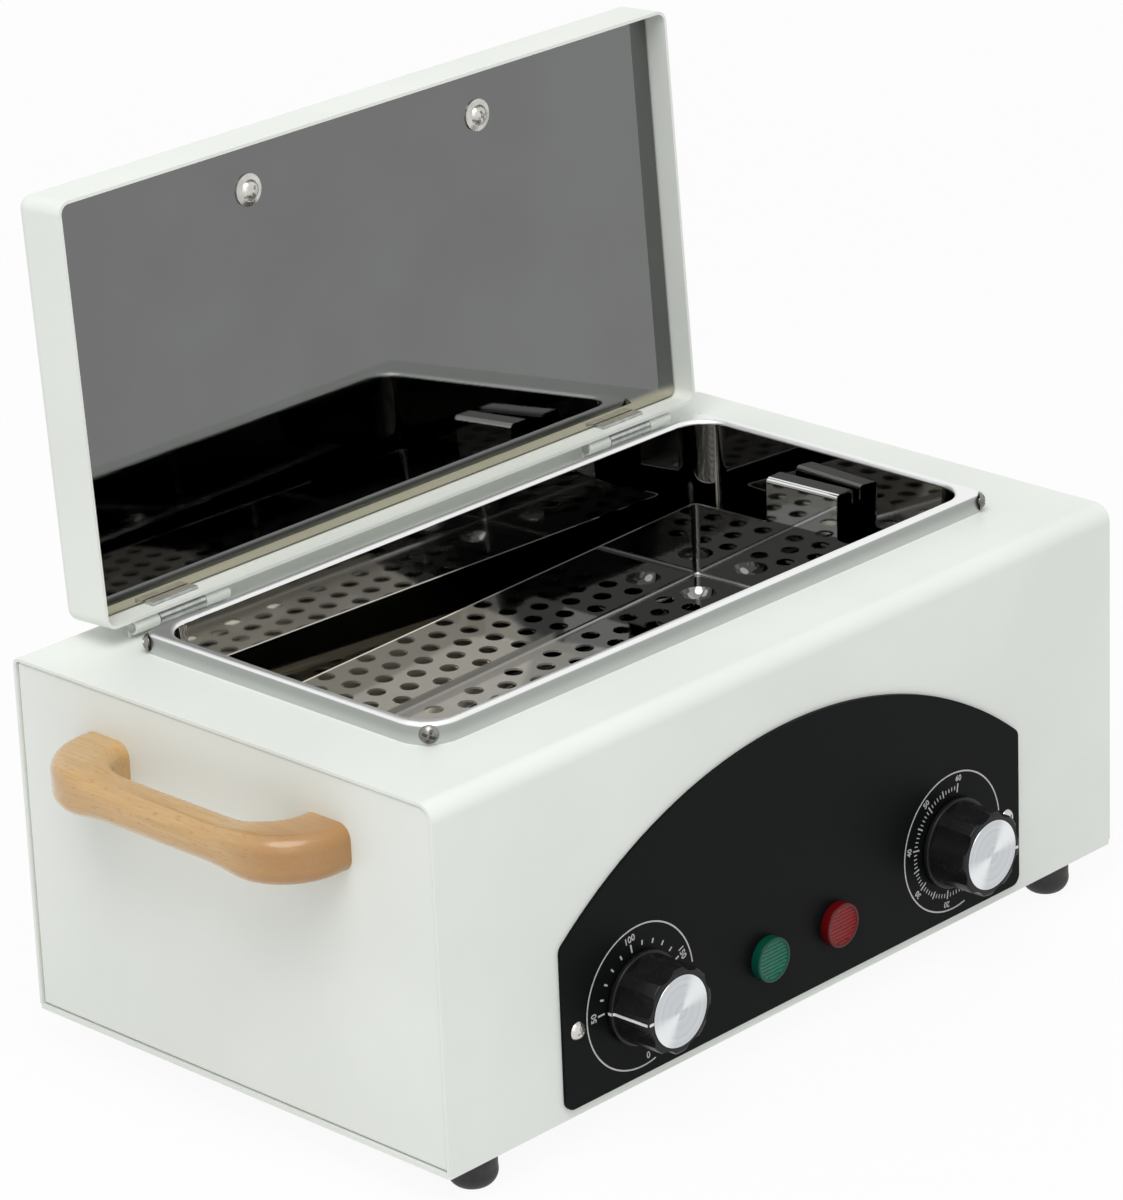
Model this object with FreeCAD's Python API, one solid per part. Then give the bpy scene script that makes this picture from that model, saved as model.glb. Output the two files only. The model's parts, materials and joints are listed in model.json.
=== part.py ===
import FreeCAD, Part
import math
import os
from FreeCAD import Vector

# Nail tool sterilizer: a dry-heat box with a drawn steel tank, a perforated basket, a lid on two
# barrel hinges, two dials and two lamps on an arched panel, and a wooden handle at each end.
# X runs along the body, Y from the front to the back, Z up. The origin is on the floor, midway
# between the feet. The lid is modelled open, leaning back on its stop.
os.makedirs("parts", exist_ok=True)

# How far a cutter reaches past what it cuts
over = 1.0

# Casing
body_width = 306.0
body_depth = 180.0
body_height = 118.0
body_sheet = 1.0
front_bend_radius = 5.5
back_bend_radius = 2.5
base_sheet = 1.6
base_screw_x = 104.0
base_screw_head = 3.2
base_screw_head_height = 1.9
base_screw_tail = 3.0
seam_gap = 0.2
end_plate_recess = 0.5
end_plate_flange = 12.0
end_plate_edge_radius = 1.2
wrap_return = 11.0

# Feet
foot_height = 12.0
foot_radius = 7.6
foot_rest_radius = 5.2
foot_side = 5.5
foot_front_inset_x = 20.0
foot_back_inset_x = 30.0
foot_edge_inset = 11.0
foot_recess_radius = 3.5
foot_recess_depth = 5.0
foot_screw_radius = 2.0
foot_screw_head_gap = 0.6
foot_screw_head_height = 2.4
foot_screw_tail = 1.0

# Arched control panel
panel_width = 210.0
panel_thickness = 1.2
panel_lower_edge = 3.2
panel_shoulder = 56.0
panel_apex = 94.5
panel_corner = 3.5
panel_screw_x = 99.0
panel_screw_rise = 28.0
panel_screw_radius = 1.5
panel_screw_head = 2.9
panel_screw_head_height = 1.7
panel_screw_tail = 4.0

# Dials
dial_x = 72.0
dial_rise = 29.3
timer_turn = -8.0
shaft_radius = 3.0
shaft_clearance = 0.05
shaft_flat = 0.8
bush_radius = 4.8
bush_clearance = 0.2
bush_reach = 4.0
dial_nut_flats = 13.0
dial_nut_thickness = 2.4
knob_gap = 0.6
knob_height = 17.8
knob_skirt_radius = 15.0
knob_skirt_height = 3.0
knob_skirt_chamfer = 0.5
knob_radius = 14.0
knob_taper = 0.7
knob_flutes = 10
knob_flute_radius = 4.6
knob_flute_depth = 1.7
knob_recess_radius = 9.5
knob_recess_depth = 4.6
knob_rim_radius = 1.0
knob_bore_floor = 2.0
knob_cap_radius = 11.7
knob_cap_thickness = 1.2
knob_cap_proud = 0.4
knob_cap_edge = 0.3
knob_cap_clearance = 0.1
thermostat_radius = 17.0
thermostat_depth = 18.0
thermostat_blade_drop = 6.0
thermostat_blade_spread = 7.0
timer_width = 50.0
timer_depth = 26.0
timer_corner = 3.0
timer_floor_gap = 2.0
timer_blade_rise = 12.0
timer_blade_spread = 10.0
control_plate = 1.2
blade_width = 6.3
blade_thickness = 0.8
blade_length = 8.0

# Pilot lamps
lamp_x = 16.0
lamp_rise = 21.4
lamp_lens_radius = 7.2
lamp_lens_height = 5.4
lamp_lens_round = 1.4
lamp_lens_rib_pitch = 1.7
lamp_lens_rib_width = 0.7
lamp_lens_rib_depth = 0.45
lamp_stem_radius = 4.6
lamp_stem_clearance = 0.15
lamp_stem_reach = 3.0
lamp_holder_radius = 7.5
lamp_holder_flange = 3.0
lamp_holder_wall = 1.0
lamp_holder_depth = 20.0
lamp_pin_spread = 2.5
lamp_pin_width = 2.8

# Tank
tank_margin_x = 28.0
tank_margin_y = 28.75
tank_rim_height = 6.8
tank_sheet = 0.8
tank_rim_width = 3.4
tank_corner = 3.5
tank_near_corner = 12.0
tank_pan_corner = 11.0
tank_rim_round = 1.5
tank_lip_round = 1.4
tank_inside_height = 54.0
tank_taper = 2.0
tank_floor_round = 5.0
tank_seat_clearance = 0.3
collar_sheet = 1.0
collar_height = 5.4
tank_screw_rise = 3.4
tank_screw_radius = 1.45
tank_screw_length = 3.1
tank_screw_head = 3.05
tank_screw_head_height = 2.0
stud_radius = 2.0
stud_x = 50.0
stud_y = 24.0
stud_tail = 1.5

# Basket, which lies a little askew in the tank
basket_gap_x = 14.0
basket_gap_y = 15.25
basket_height = 25.5
basket_skew = 3.2
basket_shift = -2.7
basket_sheet = 0.7
basket_corner = 2.5
basket_floor_round = 1.8
basket_seat_gap = 0.05
dimple_radius = 6.3
dimple_depth = 3.6
dimple_inset_x = 14.5
dimple_inset_y = 12.5
hole_radius = 3.15
hole_pitch = 11.0
hole_column_pitch = 9.5
hole_field_inset = 25.0
hole_edge_inset = 7.4
lug_width = 29.0
lug_rise = 15.5
lug_reach = 8.0
lug_drop = 5.0
lug_bend = 1.0

# Heating under the tank
element_radius = 3.25
element_reach = 85.0
element_pitch = 24.0
element_gap = 0.1
element_pin_radius = 1.2
element_pin_length = 9.0
clamp_width = 14.0
clamp_overhang = 4.0
clamp_thickness = 1.2
shield_thickness = 0.6
shield_length = 200.0
shield_depth = 100.0
shield_corner = 4.0
stud_clearance = 0.3
nut_flats = 7.0
nut_thickness = 3.0
nut_room = 1.5
bulb_radius = 3.0
bulb_reach = 58.0
capillary_radius = 0.8
capillary_bend = 5.0
capillary_gap_x = 8.0
capillary_gap_y = 16.0
cutout_radius = 8.0
cutout_height = 7.0
cutout_x = 78.0
cutout_blade_spread = 4.0

# Lid
lid_overlap_x = 7.0
lid_overlap_y = 3.95
lid_height = 20.0
lid_sheet = 1.0
lid_corner = 4.0
lid_edge_round = 4.0
lid_gap = 0.9
lid_hinge_gap = 2.7
lid_open_angle = 93.6
liner_recess = 8.0
liner_sheet = 0.6
liner_fold = 3.0
liner_edge_round = 1.0
liner_clearance = 0.3
liner_screw_x = 50.0
liner_screw_inset = 17.0
liner_screw_radius = 1.9
liner_screw_head = 3.4
liner_screw_head_height = 1.8
liner_washer_seat = 3.6
liner_washer_radius = 5.2
liner_washer_height = 1.1
liner_washer_sheet = 0.5
liner_boss_radius = 4.5

# Hinges
hinge_x = 100.5
hinge_length = 39.0
hinge_middle = 18.8
hinge_back_inset = 18.0
hinge_axis_rise = 3.6
barrel_radius = 2.2
pin_radius = 1.1
pin_head = 0.6
pin_head_lip = 0.5
pin_fixed_clearance = 0.02
pin_running_clearance = 0.06
knuckle_gap = 0.3
leaf_sheet = 1.0
leaf_plate = 6.0
leaf_slot_clearance = 0.2
leaf_liner_gap = 0.4

# Handles
handle_length = 115.0
handle_reach = 26.0
handle_bar = 14.0
handle_height = 15.2
handle_waist = 12.0
handle_waist_half = 20.0
handle_waist_run = 20.0
handle_leg = 20.0
handle_pitch = 96.0
handle_rise = 95.0
handle_shift = 2.0
handle_outer_corner = 22.0
handle_inner_corner = 10.0
handle_round = 4.8
handle_screw_radius = 2.0
handle_screw_length = 20.0
handle_screw_head = 3.8
handle_screw_head_height = 2.2

# Inlet and terminals
inlet_x = 100.0
inlet_rise = 20.0
inlet_bore = 4.0
inlet_radius = 6.5
inlet_flange = 1.8
inlet_lip = 2.5
inlet_bevel = 0.8
terminal_length = 34.0
terminal_depth = 18.0
terminal_height = 14.0
terminal_inset = 46.0
terminal_wire_bore = 2.2
terminal_screw_bore = 1.8
fit_clearance = 0.1
vent_count = 7
vent_length = 42.0
vent_width = 4.0
vent_pitch = 12.0

# Places that follow from the sizes above
half_width = body_width / 2
half_depth = body_depth / 2
tank_length = body_width - 2 * tank_margin_x
tank_depth = body_depth - 2 * tank_margin_y
basket_length = tank_length - 2 * basket_gap_x
basket_depth = tank_depth - 2 * basket_gap_y
hinge_axis_y = half_depth - hinge_back_inset
lid_back = hinge_axis_y - lid_hinge_gap
lid_depth = lid_back + tank_depth / 2 + lid_overlap_y
lid_width = tank_length + 2 * lid_overlap_x
z_under = foot_height
z_shell = z_under + base_sheet
z_top = z_under + body_height
z_rim = z_top + tank_rim_height
z_tank_floor = z_rim - tank_inside_height
z_tank_bottom = z_tank_floor - tank_sheet
z_basket_bottom = z_tank_floor + basket_seat_gap + dimple_depth
z_dial = z_under + dial_rise
z_lamp = z_under + lamp_rise
z_handle = z_under + handle_rise
y_front = -half_depth
y_inner_front = y_front + body_sheet
y_panel = y_front - panel_thickness
z_axis = z_top + hinge_axis_rise
z_lid_rim = z_top + lid_gap
foot_front_x = half_width - foot_front_inset_x
foot_back_x = half_width - foot_back_inset_x
foot_y = half_depth - foot_edge_inset
up = Vector(0, 0, 1)
along = Vector(1, 0, 0)
back = Vector(0, 1, 0)
forward = Vector(0, -1, 0)


def write(name, shape):
    shape = shape.removeSplitter()
    shape.exportStep("parts/" + name + ".step")


def box(x0, x1, y0, y1, z0, z1):
    return Part.makeBox(x1 - x0, y1 - y0, z1 - z0, Vector(x0, y0, z0))


def rod(radius, length, place, direction=up):
    return Part.makeCylinder(radius, length, place, direction)


def group(shapes):
    return Part.makeCompound(shapes)


def mirror_x(shape):
    return shape.mirror(Vector(0, 0, 0), along)


def rounded_wire(length, depth, radius, z, y=0.0, near=None):
    # A rounded rectangle centred on x = 0, whose front left corner may have its own radius
    if near is None:
        near = radius
    a = length / 2
    b = depth / 2
    ends = []
    for sx, sy, r in ((1, 1, radius), (-1, 1, radius), (-1, -1, near), (1, -1, radius)):
        cx = sx * (a - r)
        cy = y + sy * (b - r)
        s = r * math.sqrt(0.5)
        side = Vector(cx + sx * r, cy, z)
        end = Vector(cx, cy + sy * r, z)
        middle = Vector(cx + sx * s, cy + sy * s, z)
        ends.append((side, middle, end) if sx == sy else (end, middle, side))
    edges = []
    for i in range(4):
        first, middle, last = ends[i]
        edges.append(Part.Arc(first, middle, last).toShape())
        edges.append(Part.makeLine(last, ends[(i + 1) % 4][0]))
    return Part.Wire(edges)


def rounded_block(length, depth, radius, z0, z1, y=0.0, near=None):
    face = Part.Face(rounded_wire(length, depth, radius, z0, y, near))
    return face.extrude(Vector(0, 0, z1 - z0))


def edges_at(shape, z):
    # The edges that lie wholly at one height
    return [e for e in shape.Edges
            if abs(e.BoundBox.ZMin - z) < 1e-4 and abs(e.BoundBox.ZMax - z) < 1e-4]


def hexagon(flats, thickness, place, direction):
    # A nut blank standing on place
    radius = flats / math.sqrt(3)
    points = [Vector(radius * math.cos(math.radians(a)), radius * math.sin(math.radians(a)), 0)
              for a in range(0, 361, 60)]
    blank = Part.Face(Part.makePolygon(points)).extrude(Vector(0, 0, thickness))
    turn = FreeCAD.Rotation(up, direction)
    blank.Placement = FreeCAD.Placement(place, turn)
    return blank


def revolved(profile, place, direction):
    # profile is a closed list of (radius, height) points, turned about the axis through place
    wire = Part.makePolygon([Vector(r, 0, h) for r, h in profile + profile[:1]])
    solid = Part.Face(wire).revolve(Vector(0, 0, 0), up, 360)
    solid.Placement = FreeCAD.Placement(place, FreeCAD.Rotation(up, direction))
    return solid


def dome_screw(head_radius, head_height, shank_radius, length, place, direction):
    # A domed head standing on place, with the shank going the other way
    ball = (head_radius ** 2 + head_height ** 2) / (2 * head_height)
    turn = math.asin(head_radius / ball) / 2
    middle = Vector(ball * math.sin(turn), 0, head_height - ball + ball * math.cos(turn))
    arc = Part.Arc(Vector(head_radius, 0, 0), middle, Vector(0, 0, head_height)).toShape()
    points = [Vector(0, 0, head_height), Vector(0, 0, -length), Vector(shank_radius, 0, -length),
              Vector(shank_radius, 0, 0), Vector(head_radius, 0, 0)]
    lines = [Part.makeLine(points[i], points[i + 1]) for i in range(len(points) - 1)]
    solid = Part.Face(Part.Wire([arc] + lines)).revolve(Vector(0, 0, 0), up, 360)
    solid.Placement = FreeCAD.Placement(place, FreeCAD.Rotation(up, direction))
    return solid


def tube_path(points, radius, bend):
    # Straight runs joined by tangent arcs, swept with a round section
    points = [Vector(*p) for p in points]
    edges = []
    start = points[0]
    for i in range(1, len(points) - 1):
        a = (points[i - 1] - points[i]).normalize()
        b = (points[i + 1] - points[i]).normalize()
        half = math.acos(max(-1, min(1, a.dot(b)))) / 2
        trim = bend / math.tan(half)
        bisector = (a + b).normalize()
        centre = points[i] + bisector * (bend / math.sin(half))
        first = points[i] + a * trim
        last = points[i] + b * trim
        edges.append(Part.makeLine(start, first))
        edges.append(Part.Arc(first, centre - bisector * bend, last).toShape())
        start = last
    edges.append(Part.makeLine(start, points[-1]))
    path = Part.Wire(edges)
    circle = Part.Wire(Part.makeCircle(radius, points[0], points[1] - points[0]))
    return path.makePipeShell([circle], True, True)


def arch_solid(x0, x1, half, z0, z1, front, back_bend):
    # The body's section, flat below and bent at the top front and back, from x0 to x1
    s = front * (1 - math.sqrt(0.5))
    t = back_bend * (1 - math.sqrt(0.5))
    points = [Vector(x0, -half, z0), Vector(x0, -half, z1 - front), Vector(x0, -half + front, z1),
              Vector(x0, half - back_bend, z1), Vector(x0, half, z1 - back_bend), Vector(x0, half, z0)]
    front_arc = Part.Arc(points[1], Vector(x0, -half + s, z1 - s), points[2]).toShape()
    back_arc = Part.Arc(points[3], Vector(x0, half - t, z1 - t), points[4]).toShape()
    edges = [Part.makeLine(points[0], points[1]), front_arc, Part.makeLine(points[2], points[3]),
             back_arc, Part.makeLine(points[4], points[5]), Part.makeLine(points[5], points[0])]
    return Part.Face(Part.Wire(edges)).extrude(Vector(x1 - x0, 0, 0))


def knuckle_spans():
    # The x ranges of a right-hand hinge's two outer knuckles, and of its middle one
    middle = (hinge_x - hinge_middle / 2, hinge_x + hinge_middle / 2)
    outer = [(hinge_x - hinge_length / 2, middle[0] - knuckle_gap),
             (middle[1] + knuckle_gap, hinge_x + hinge_length / 2)]
    return outer, middle


def open_lid(shape):
    # Turns what is modelled on the closed lid to the open pose
    shape = shape.copy()
    shape.rotate(Vector(0, hinge_axis_y, z_axis), along, -lid_open_angle)
    return shape


def make_body_wrap():
    outer = arch_solid(-half_width, half_width, half_depth, z_shell, z_top, front_bend_radius,
                       back_bend_radius)
    inner = arch_solid(-half_width - over, half_width + over, half_depth - body_sheet, z_shell - over,
                       z_top - body_sheet, front_bend_radius - body_sheet, back_bend_radius - body_sheet)
    wrap = outer.cut(inner)
    return_x = half_width - end_plate_recess - end_plate_flange - seam_gap
    edge = half_depth - body_sheet
    for y0, y1 in ((-edge, -edge + wrap_return), (edge - wrap_return, edge)):
        wrap = wrap.fuse(box(-return_x, return_x, y0, y1, z_shell, z_shell + body_sheet))
    inset = tank_sheet + tank_seat_clearance
    wrap = wrap.fuse(collar_block(inset, z_top - body_sheet, z_top + collar_height))
    wrap = wrap.cut(collar_block(inset + collar_sheet, z_top - body_sheet - over, z_rim))
    cuts = []
    for place, direction in tank_screw_places():
        cuts.append(rod(tank_screw_radius + fit_clearance, tank_screw_length,
                        place - direction * tank_screw_length, direction))
    front = y_front - over
    through = body_sheet + 2 * over
    for x in (-dial_x, dial_x):
        cuts.append(rod(bush_radius + bush_clearance, through, Vector(x, front, z_dial), back))
    for x in (-lamp_x, lamp_x):
        cuts.append(rod(lamp_stem_radius + lamp_stem_clearance, through, Vector(x, front, z_lamp), back))
    for x in (-panel_screw_x, panel_screw_x):
        cuts.append(rod(panel_screw_radius + fit_clearance, through,
                        Vector(x, front, z_under + panel_screw_rise), back))
    cuts.append(rod(inlet_radius + fit_clearance, through,
                    Vector(-inlet_x, half_depth + over - through, z_under + inlet_rise), back))
    outer_spans, middle = knuckle_spans()
    neck_y = hinge_axis_y + barrel_radius - leaf_sheet
    for x0, x1 in outer_spans:
        slot = box(x0 - leaf_slot_clearance, x1 + leaf_slot_clearance, neck_y - leaf_slot_clearance,
                   neck_y + leaf_sheet + leaf_slot_clearance, z_top - body_sheet - over, z_top + over)
        cuts.extend([slot, mirror_x(slot)])
    for x, y in base_screw_places():
        cuts.append(rod(foot_screw_radius + fit_clearance, through, Vector(x, y, z_shell - over)))
    for name, x, y in foot_places():
        cuts.append(rod(nut_flats / math.sqrt(3) + nut_room, through, Vector(x, y, z_shell - over)))
    return wrap.cut(cuts)


def collar_block(inset, z0, z1):
    # The tank's plan, drawn in by an inset, from z0 to z1
    return rounded_block(tank_length - 2 * inset, tank_depth - 2 * inset, tank_corner - inset, z0, z1,
                         near=tank_near_corner - inset)


def make_end_plate():
    # The right end plate: a tray with its rim folded into the body
    inset = body_sheet + seam_gap
    x1 = half_width - end_plate_recess
    x0 = x1 - end_plate_flange
    outer = arch_solid(x0, x1, half_depth - inset, z_shell + seam_gap, z_top - inset,
                       front_bend_radius - inset, back_bend_radius - inset)
    face_edges = [e for e in outer.Edges if e.BoundBox.XMin > x1 - 1e-4]
    outer = outer.makeFillet(end_plate_edge_radius, face_edges)
    inset += body_sheet
    inner = arch_solid(x0 - over, x1 - body_sheet, half_depth - inset, z_shell + seam_gap + body_sheet,
                       z_top - inset, front_bend_radius - inset, back_bend_radius - inset)
    plate = outer.cut(inner)
    for y in handle_leg_places():
        plate = plate.cut(rod(handle_screw_radius + fit_clearance, body_sheet + 2 * over,
                              Vector(x1 - body_sheet - over, y, z_handle), along))
    return plate


def base_screw_places():
    y = half_depth - body_sheet - wrap_return / 2
    return [(x, side * y) for side in (-1, 1) for x in (-base_screw_x, 0, base_screw_x)]


def foot_places():
    return [("front_left", -foot_front_x, -foot_y), ("front_right", foot_front_x, -foot_y),
            ("back_left", -foot_back_x, foot_y), ("back_right", foot_back_x, foot_y)]


def handle_leg_places():
    return [handle_shift - handle_pitch / 2, handle_shift + handle_pitch / 2]


def make_base_plate():
    plate = box(-half_width, half_width, -half_depth, half_depth, z_under, z_shell)
    upright = [e for e in plate.Edges if e.BoundBox.ZLength > base_sheet / 2]
    plate = plate.makeFillet(body_sheet, upright)
    cuts = []
    places = base_screw_places() + [(x, y) for name, x, y in foot_places()]
    for x, y in places:
        cuts.append(rod(foot_screw_radius + fit_clearance, base_sheet + 2 * over,
                        Vector(x, y, z_under - over)))
    for i in range(vent_count):
        x = (i - (vent_count - 1) / 2) * vent_pitch
        slot = rounded_block(vent_width, vent_length, vent_width * 0.49, z_under - over, z_shell + over)
        slot.translate(Vector(x, 0, 0))
        cuts.append(slot)
    return plate.cut(cuts)


def make_foot(x, y):
    # A rubber dome with a recess for its screw
    profile = [Vector(foot_recess_radius, 0, 0), Vector(foot_rest_radius, 0, 0)]
    shoulder = Vector(foot_radius, 0, foot_side)
    bulge = Vector(foot_rest_radius + (foot_radius - foot_rest_radius) * 0.72, 0, foot_side * 0.3)
    bore = foot_screw_radius + fit_clearance
    edges = [Part.makeLine(profile[0], profile[1]), Part.Arc(profile[1], bulge, shoulder).toShape()]
    points = [shoulder, Vector(foot_radius, 0, foot_height), Vector(bore, 0, foot_height),
              Vector(bore, 0, foot_recess_depth), Vector(foot_recess_radius, 0, foot_recess_depth),
              profile[0]]
    edges += [Part.makeLine(points[i], points[i + 1]) for i in range(len(points) - 1)]
    foot = Part.Face(Part.Wire(edges)).revolve(Vector(0, 0, 0), up, 360)
    foot.translate(Vector(x, y, 0))
    return foot


def make_foot_screws():
    length = z_shell + nut_thickness + foot_screw_tail - foot_recess_depth
    head = foot_recess_radius - foot_screw_head_gap
    return group([dome_screw(head, foot_screw_head_height, foot_screw_radius, length,
                             Vector(x, y, foot_recess_depth), Vector(0, 0, -1))
                  for name, x, y in foot_places()])


def make_foot_nuts():
    nuts = []
    for name, x, y in foot_places():
        nut = hexagon(nut_flats, nut_thickness, Vector(x, y, z_shell), up)
        nuts.append(nut.cut(rod(foot_screw_radius + fit_clearance, nut_thickness + 2 * over,
                                Vector(x, y, z_shell - over))))
    return group(nuts)


def make_base_screws():
    length = base_sheet + body_sheet + base_screw_tail
    return group([dome_screw(base_screw_head, base_screw_head_height, foot_screw_radius, length,
                             Vector(x, y, z_under), Vector(0, 0, -1)) for x, y in base_screw_places()])


def arched_face(y):
    # The panel's outline: straight sides, a bottom edge and a circular top, corners rounded
    a = panel_width / 2
    z0 = z_under + panel_lower_edge
    z1 = z_under + panel_shoulder
    z2 = z_under + panel_apex
    arc = Part.Arc(Vector(-a, y, z1), Vector(0, y, z2), Vector(a, y, z1)).toShape()
    lines = [Part.makeLine(Vector(a, y, z1), Vector(a, y, z0)),
             Part.makeLine(Vector(a, y, z0), Vector(-a, y, z0)),
             Part.makeLine(Vector(-a, y, z0), Vector(-a, y, z1))]
    return Part.Face(Part.Wire([arc] + lines))


def make_control_panel():
    panel = arched_face(y_panel).extrude(Vector(0, panel_thickness, 0))
    corners = [e for e in panel.Edges if abs(e.BoundBox.YLength - panel_thickness) < 1e-3
               and e.BoundBox.XLength < 1e-3 and e.BoundBox.ZLength < 1e-3]
    panel = panel.makeFillet(panel_corner, corners)
    cuts = []
    y = y_panel - over
    through = panel_thickness + 2 * over
    for x in (-dial_x, dial_x):
        cuts.append(rod(bush_radius + bush_clearance, through, Vector(x, y, z_dial), back))
    for x in (-lamp_x, lamp_x):
        cuts.append(rod(lamp_stem_radius + lamp_stem_clearance, through, Vector(x, y, z_lamp), back))
    for x in (-panel_screw_x, panel_screw_x):
        cuts.append(rod(panel_screw_radius + fit_clearance, through,
                        Vector(x, y, z_under + panel_screw_rise), back))
    return panel.cut(cuts)


def make_panel_screws():
    length = panel_thickness + body_sheet + panel_screw_tail
    return group([dome_screw(panel_screw_head, panel_screw_head_height, panel_screw_radius, length,
                             Vector(x, y_panel, z_under + panel_screw_rise), forward)
                  for x in (-panel_screw_x, panel_screw_x)])


def knob_base():
    return y_panel - knob_gap


def make_knob(x, turn):
    # Modelled about the vertical axis, then laid with its top towards the front
    top = knob_radius - knob_taper
    skirt = [(0, 0), (knob_skirt_radius, 0), (knob_skirt_radius, knob_skirt_height * 0.6),
             (knob_skirt_radius - knob_skirt_chamfer, knob_skirt_height), (0, knob_skirt_height)]
    body = [(0, 0), (knob_radius, 0), (knob_radius, knob_skirt_height),
            (top, knob_height - knob_rim_radius), (top - knob_rim_radius, knob_height), (0, knob_height)]
    origin = Vector(0, 0, 0)
    grip = revolved(body, origin, up)
    flutes = []
    for i in range(knob_flutes):
        angle = math.radians((i + 0.5) * 360.0 / knob_flutes)
        reach = knob_radius + knob_flute_radius - knob_flute_depth
        flutes.append(rod(knob_flute_radius, knob_height,
                          Vector(reach * math.cos(angle), reach * math.sin(angle), knob_skirt_height * 0.8)))
    grip = grip.cut(flutes)
    knob = grip.fuse(revolved(skirt, origin, up))
    knob = knob.cut([rod(knob_recess_radius, knob_recess_depth + over, Vector(0, 0, -over)),
                     rod(knob_cap_radius + knob_cap_clearance, knob_height,
                         Vector(0, 0, knob_height + knob_cap_proud - knob_cap_thickness)),
                     shaft_bar(shaft_radius + shaft_clearance, -over, knob_bore_depth())])
    knob.Placement = dial_placement(x, turn)
    return knob


def knob_bore_depth():
    return knob_height - knob_cap_thickness - knob_bore_floor


def dial_placement(x, turn):
    # Takes a shape standing on z = 0 to the knob's base, facing the front and turned on its axis
    rotation = FreeCAD.Rotation(along, 90).multiply(FreeCAD.Rotation(up, turn))
    return FreeCAD.Placement(Vector(x, knob_base(), z_dial), rotation)


def shaft_bar(radius, z0, z1):
    # A round bar with a flat along one side
    bar = rod(radius, z1 - z0, Vector(0, 0, z0))
    flat = radius - shaft_flat
    return bar.cut(box(-radius - over, radius + over, flat, radius + over, 0, z1 + over))


def make_shaft(x, depth, turn):
    reach = knob_gap + panel_thickness + body_sheet + depth * 0.7
    shaft = shaft_bar(shaft_radius, -reach, knob_bore_depth() - fit_clearance)
    shaft.Placement = dial_placement(x, turn)
    return shaft


def make_knob_cap(x):
    # A turned disc with a fine edge, let into the knob's top
    top = knob_height + knob_cap_proud
    seat = top - knob_cap_thickness
    profile = [(0, seat), (knob_cap_radius, seat), (knob_cap_radius, top - knob_cap_edge),
               (knob_cap_radius - knob_cap_edge, top), (0, top)]
    cap = revolved(profile, Vector(0, 0, 0), up)
    cap.Placement = dial_placement(x, 0)
    return cap


def make_dial_nut(x):
    place = Vector(x, y_panel, z_dial)
    nut = hexagon(dial_nut_flats, dial_nut_thickness, place, forward)
    return nut.cut(rod(bush_radius + fit_clearance, dial_nut_thickness + 2 * over, place + back * over,
                       forward))


def finish_control(housing, x, depth):
    # Adds the threaded bush and bores it for the shaft
    bush_length = body_sheet + panel_thickness + bush_reach
    housing = housing.fuse(rod(bush_radius, bush_length, Vector(x, y_inner_front, z_dial), forward))
    bore = rod(shaft_radius + shaft_clearance, bush_length + depth * 0.75,
               Vector(x, y_inner_front + depth * 0.75, z_dial), forward)
    return housing.cut(bore)


def blades(x, y, z, gap):
    shapes = []
    for side in (-1, 1):
        shapes.append(box(x + side * gap - blade_width / 2, x + side * gap + blade_width / 2,
                          y, y + blade_length, z - blade_thickness / 2, z + blade_thickness / 2))
    return shapes


def make_thermostat(x):
    plate = box(x - thermostat_radius, x + thermostat_radius, y_inner_front, y_inner_front + control_plate,
                z_dial - thermostat_radius * 0.7, z_dial + thermostat_radius * 0.7)
    can = rod(thermostat_radius * 0.95, thermostat_depth - control_plate,
              Vector(x, y_inner_front + control_plate, z_dial), back)
    housing = finish_control(plate.fuse(can), x, thermostat_depth)
    return housing.fuse(blades(x, y_inner_front + thermostat_depth, z_dial - thermostat_blade_drop,
                               thermostat_blade_spread))


def make_timer(x):
    half = timer_width / 2
    drop = min(half, dial_rise - base_sheet - timer_floor_gap)
    y1 = y_inner_front + timer_depth
    case = box(x - half, x + half, y_inner_front, y1, z_dial - drop, z_dial + half)
    upright = [e for e in case.Edges if e.BoundBox.YLength > timer_depth / 2]
    case = case.makeFillet(timer_corner, upright)
    housing = finish_control(case, x, timer_depth)
    return housing.fuse(blades(x, y1, z_dial + timer_blade_rise, timer_blade_spread))


def make_lamp_lens(x):
    # A flat-fronted lens with ribs across its face and a stem through the panel
    y_face = y_panel - lamp_lens_height
    head = rod(lamp_lens_radius, lamp_lens_height, Vector(x, y_face, z_lamp), back)
    rim = [e for e in head.Edges if e.BoundBox.YMax < y_face + 1e-4]
    head = head.makeFillet(lamp_lens_round, rim)
    cuts = []
    count = int(lamp_lens_radius * 1.5 / lamp_lens_rib_pitch)
    for i in range(count):
        z = z_lamp + (i - (count - 1) / 2) * lamp_lens_rib_pitch
        cuts.append(box(x - lamp_lens_radius, x + lamp_lens_radius, y_face - over,
                        y_face + lamp_lens_rib_depth, z - lamp_lens_rib_width / 2,
                        z + lamp_lens_rib_width / 2))
    stem = rod(lamp_stem_radius, panel_thickness + body_sheet + lamp_stem_reach,
               Vector(x, y_panel, z_lamp), back)
    return head.cut(cuts).fuse(stem)


def make_lamp_holder(x):
    # The holder clips over the stem behind the sheet
    y0 = y_inner_front
    y1 = y0 + lamp_holder_depth
    body = rod(lamp_holder_radius, lamp_holder_flange, Vector(x, y0, z_lamp), back)
    body = body.fuse(rod(lamp_stem_radius + lamp_holder_wall, lamp_holder_depth, Vector(x, y0, z_lamp), back))
    body = body.cut(rod(lamp_stem_radius + lamp_stem_clearance, lamp_stem_reach + 2 * over,
                        Vector(x, y0 - over, z_lamp), back))
    pins = []
    for side in (-1, 1):
        pin_x = x + side * lamp_pin_spread
        pins.append(box(pin_x - blade_thickness / 2, pin_x + blade_thickness / 2, y1, y1 + blade_length,
                        z_lamp - lamp_pin_width / 2, z_lamp + lamp_pin_width / 2))
    return body.fuse(pins)


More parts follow.
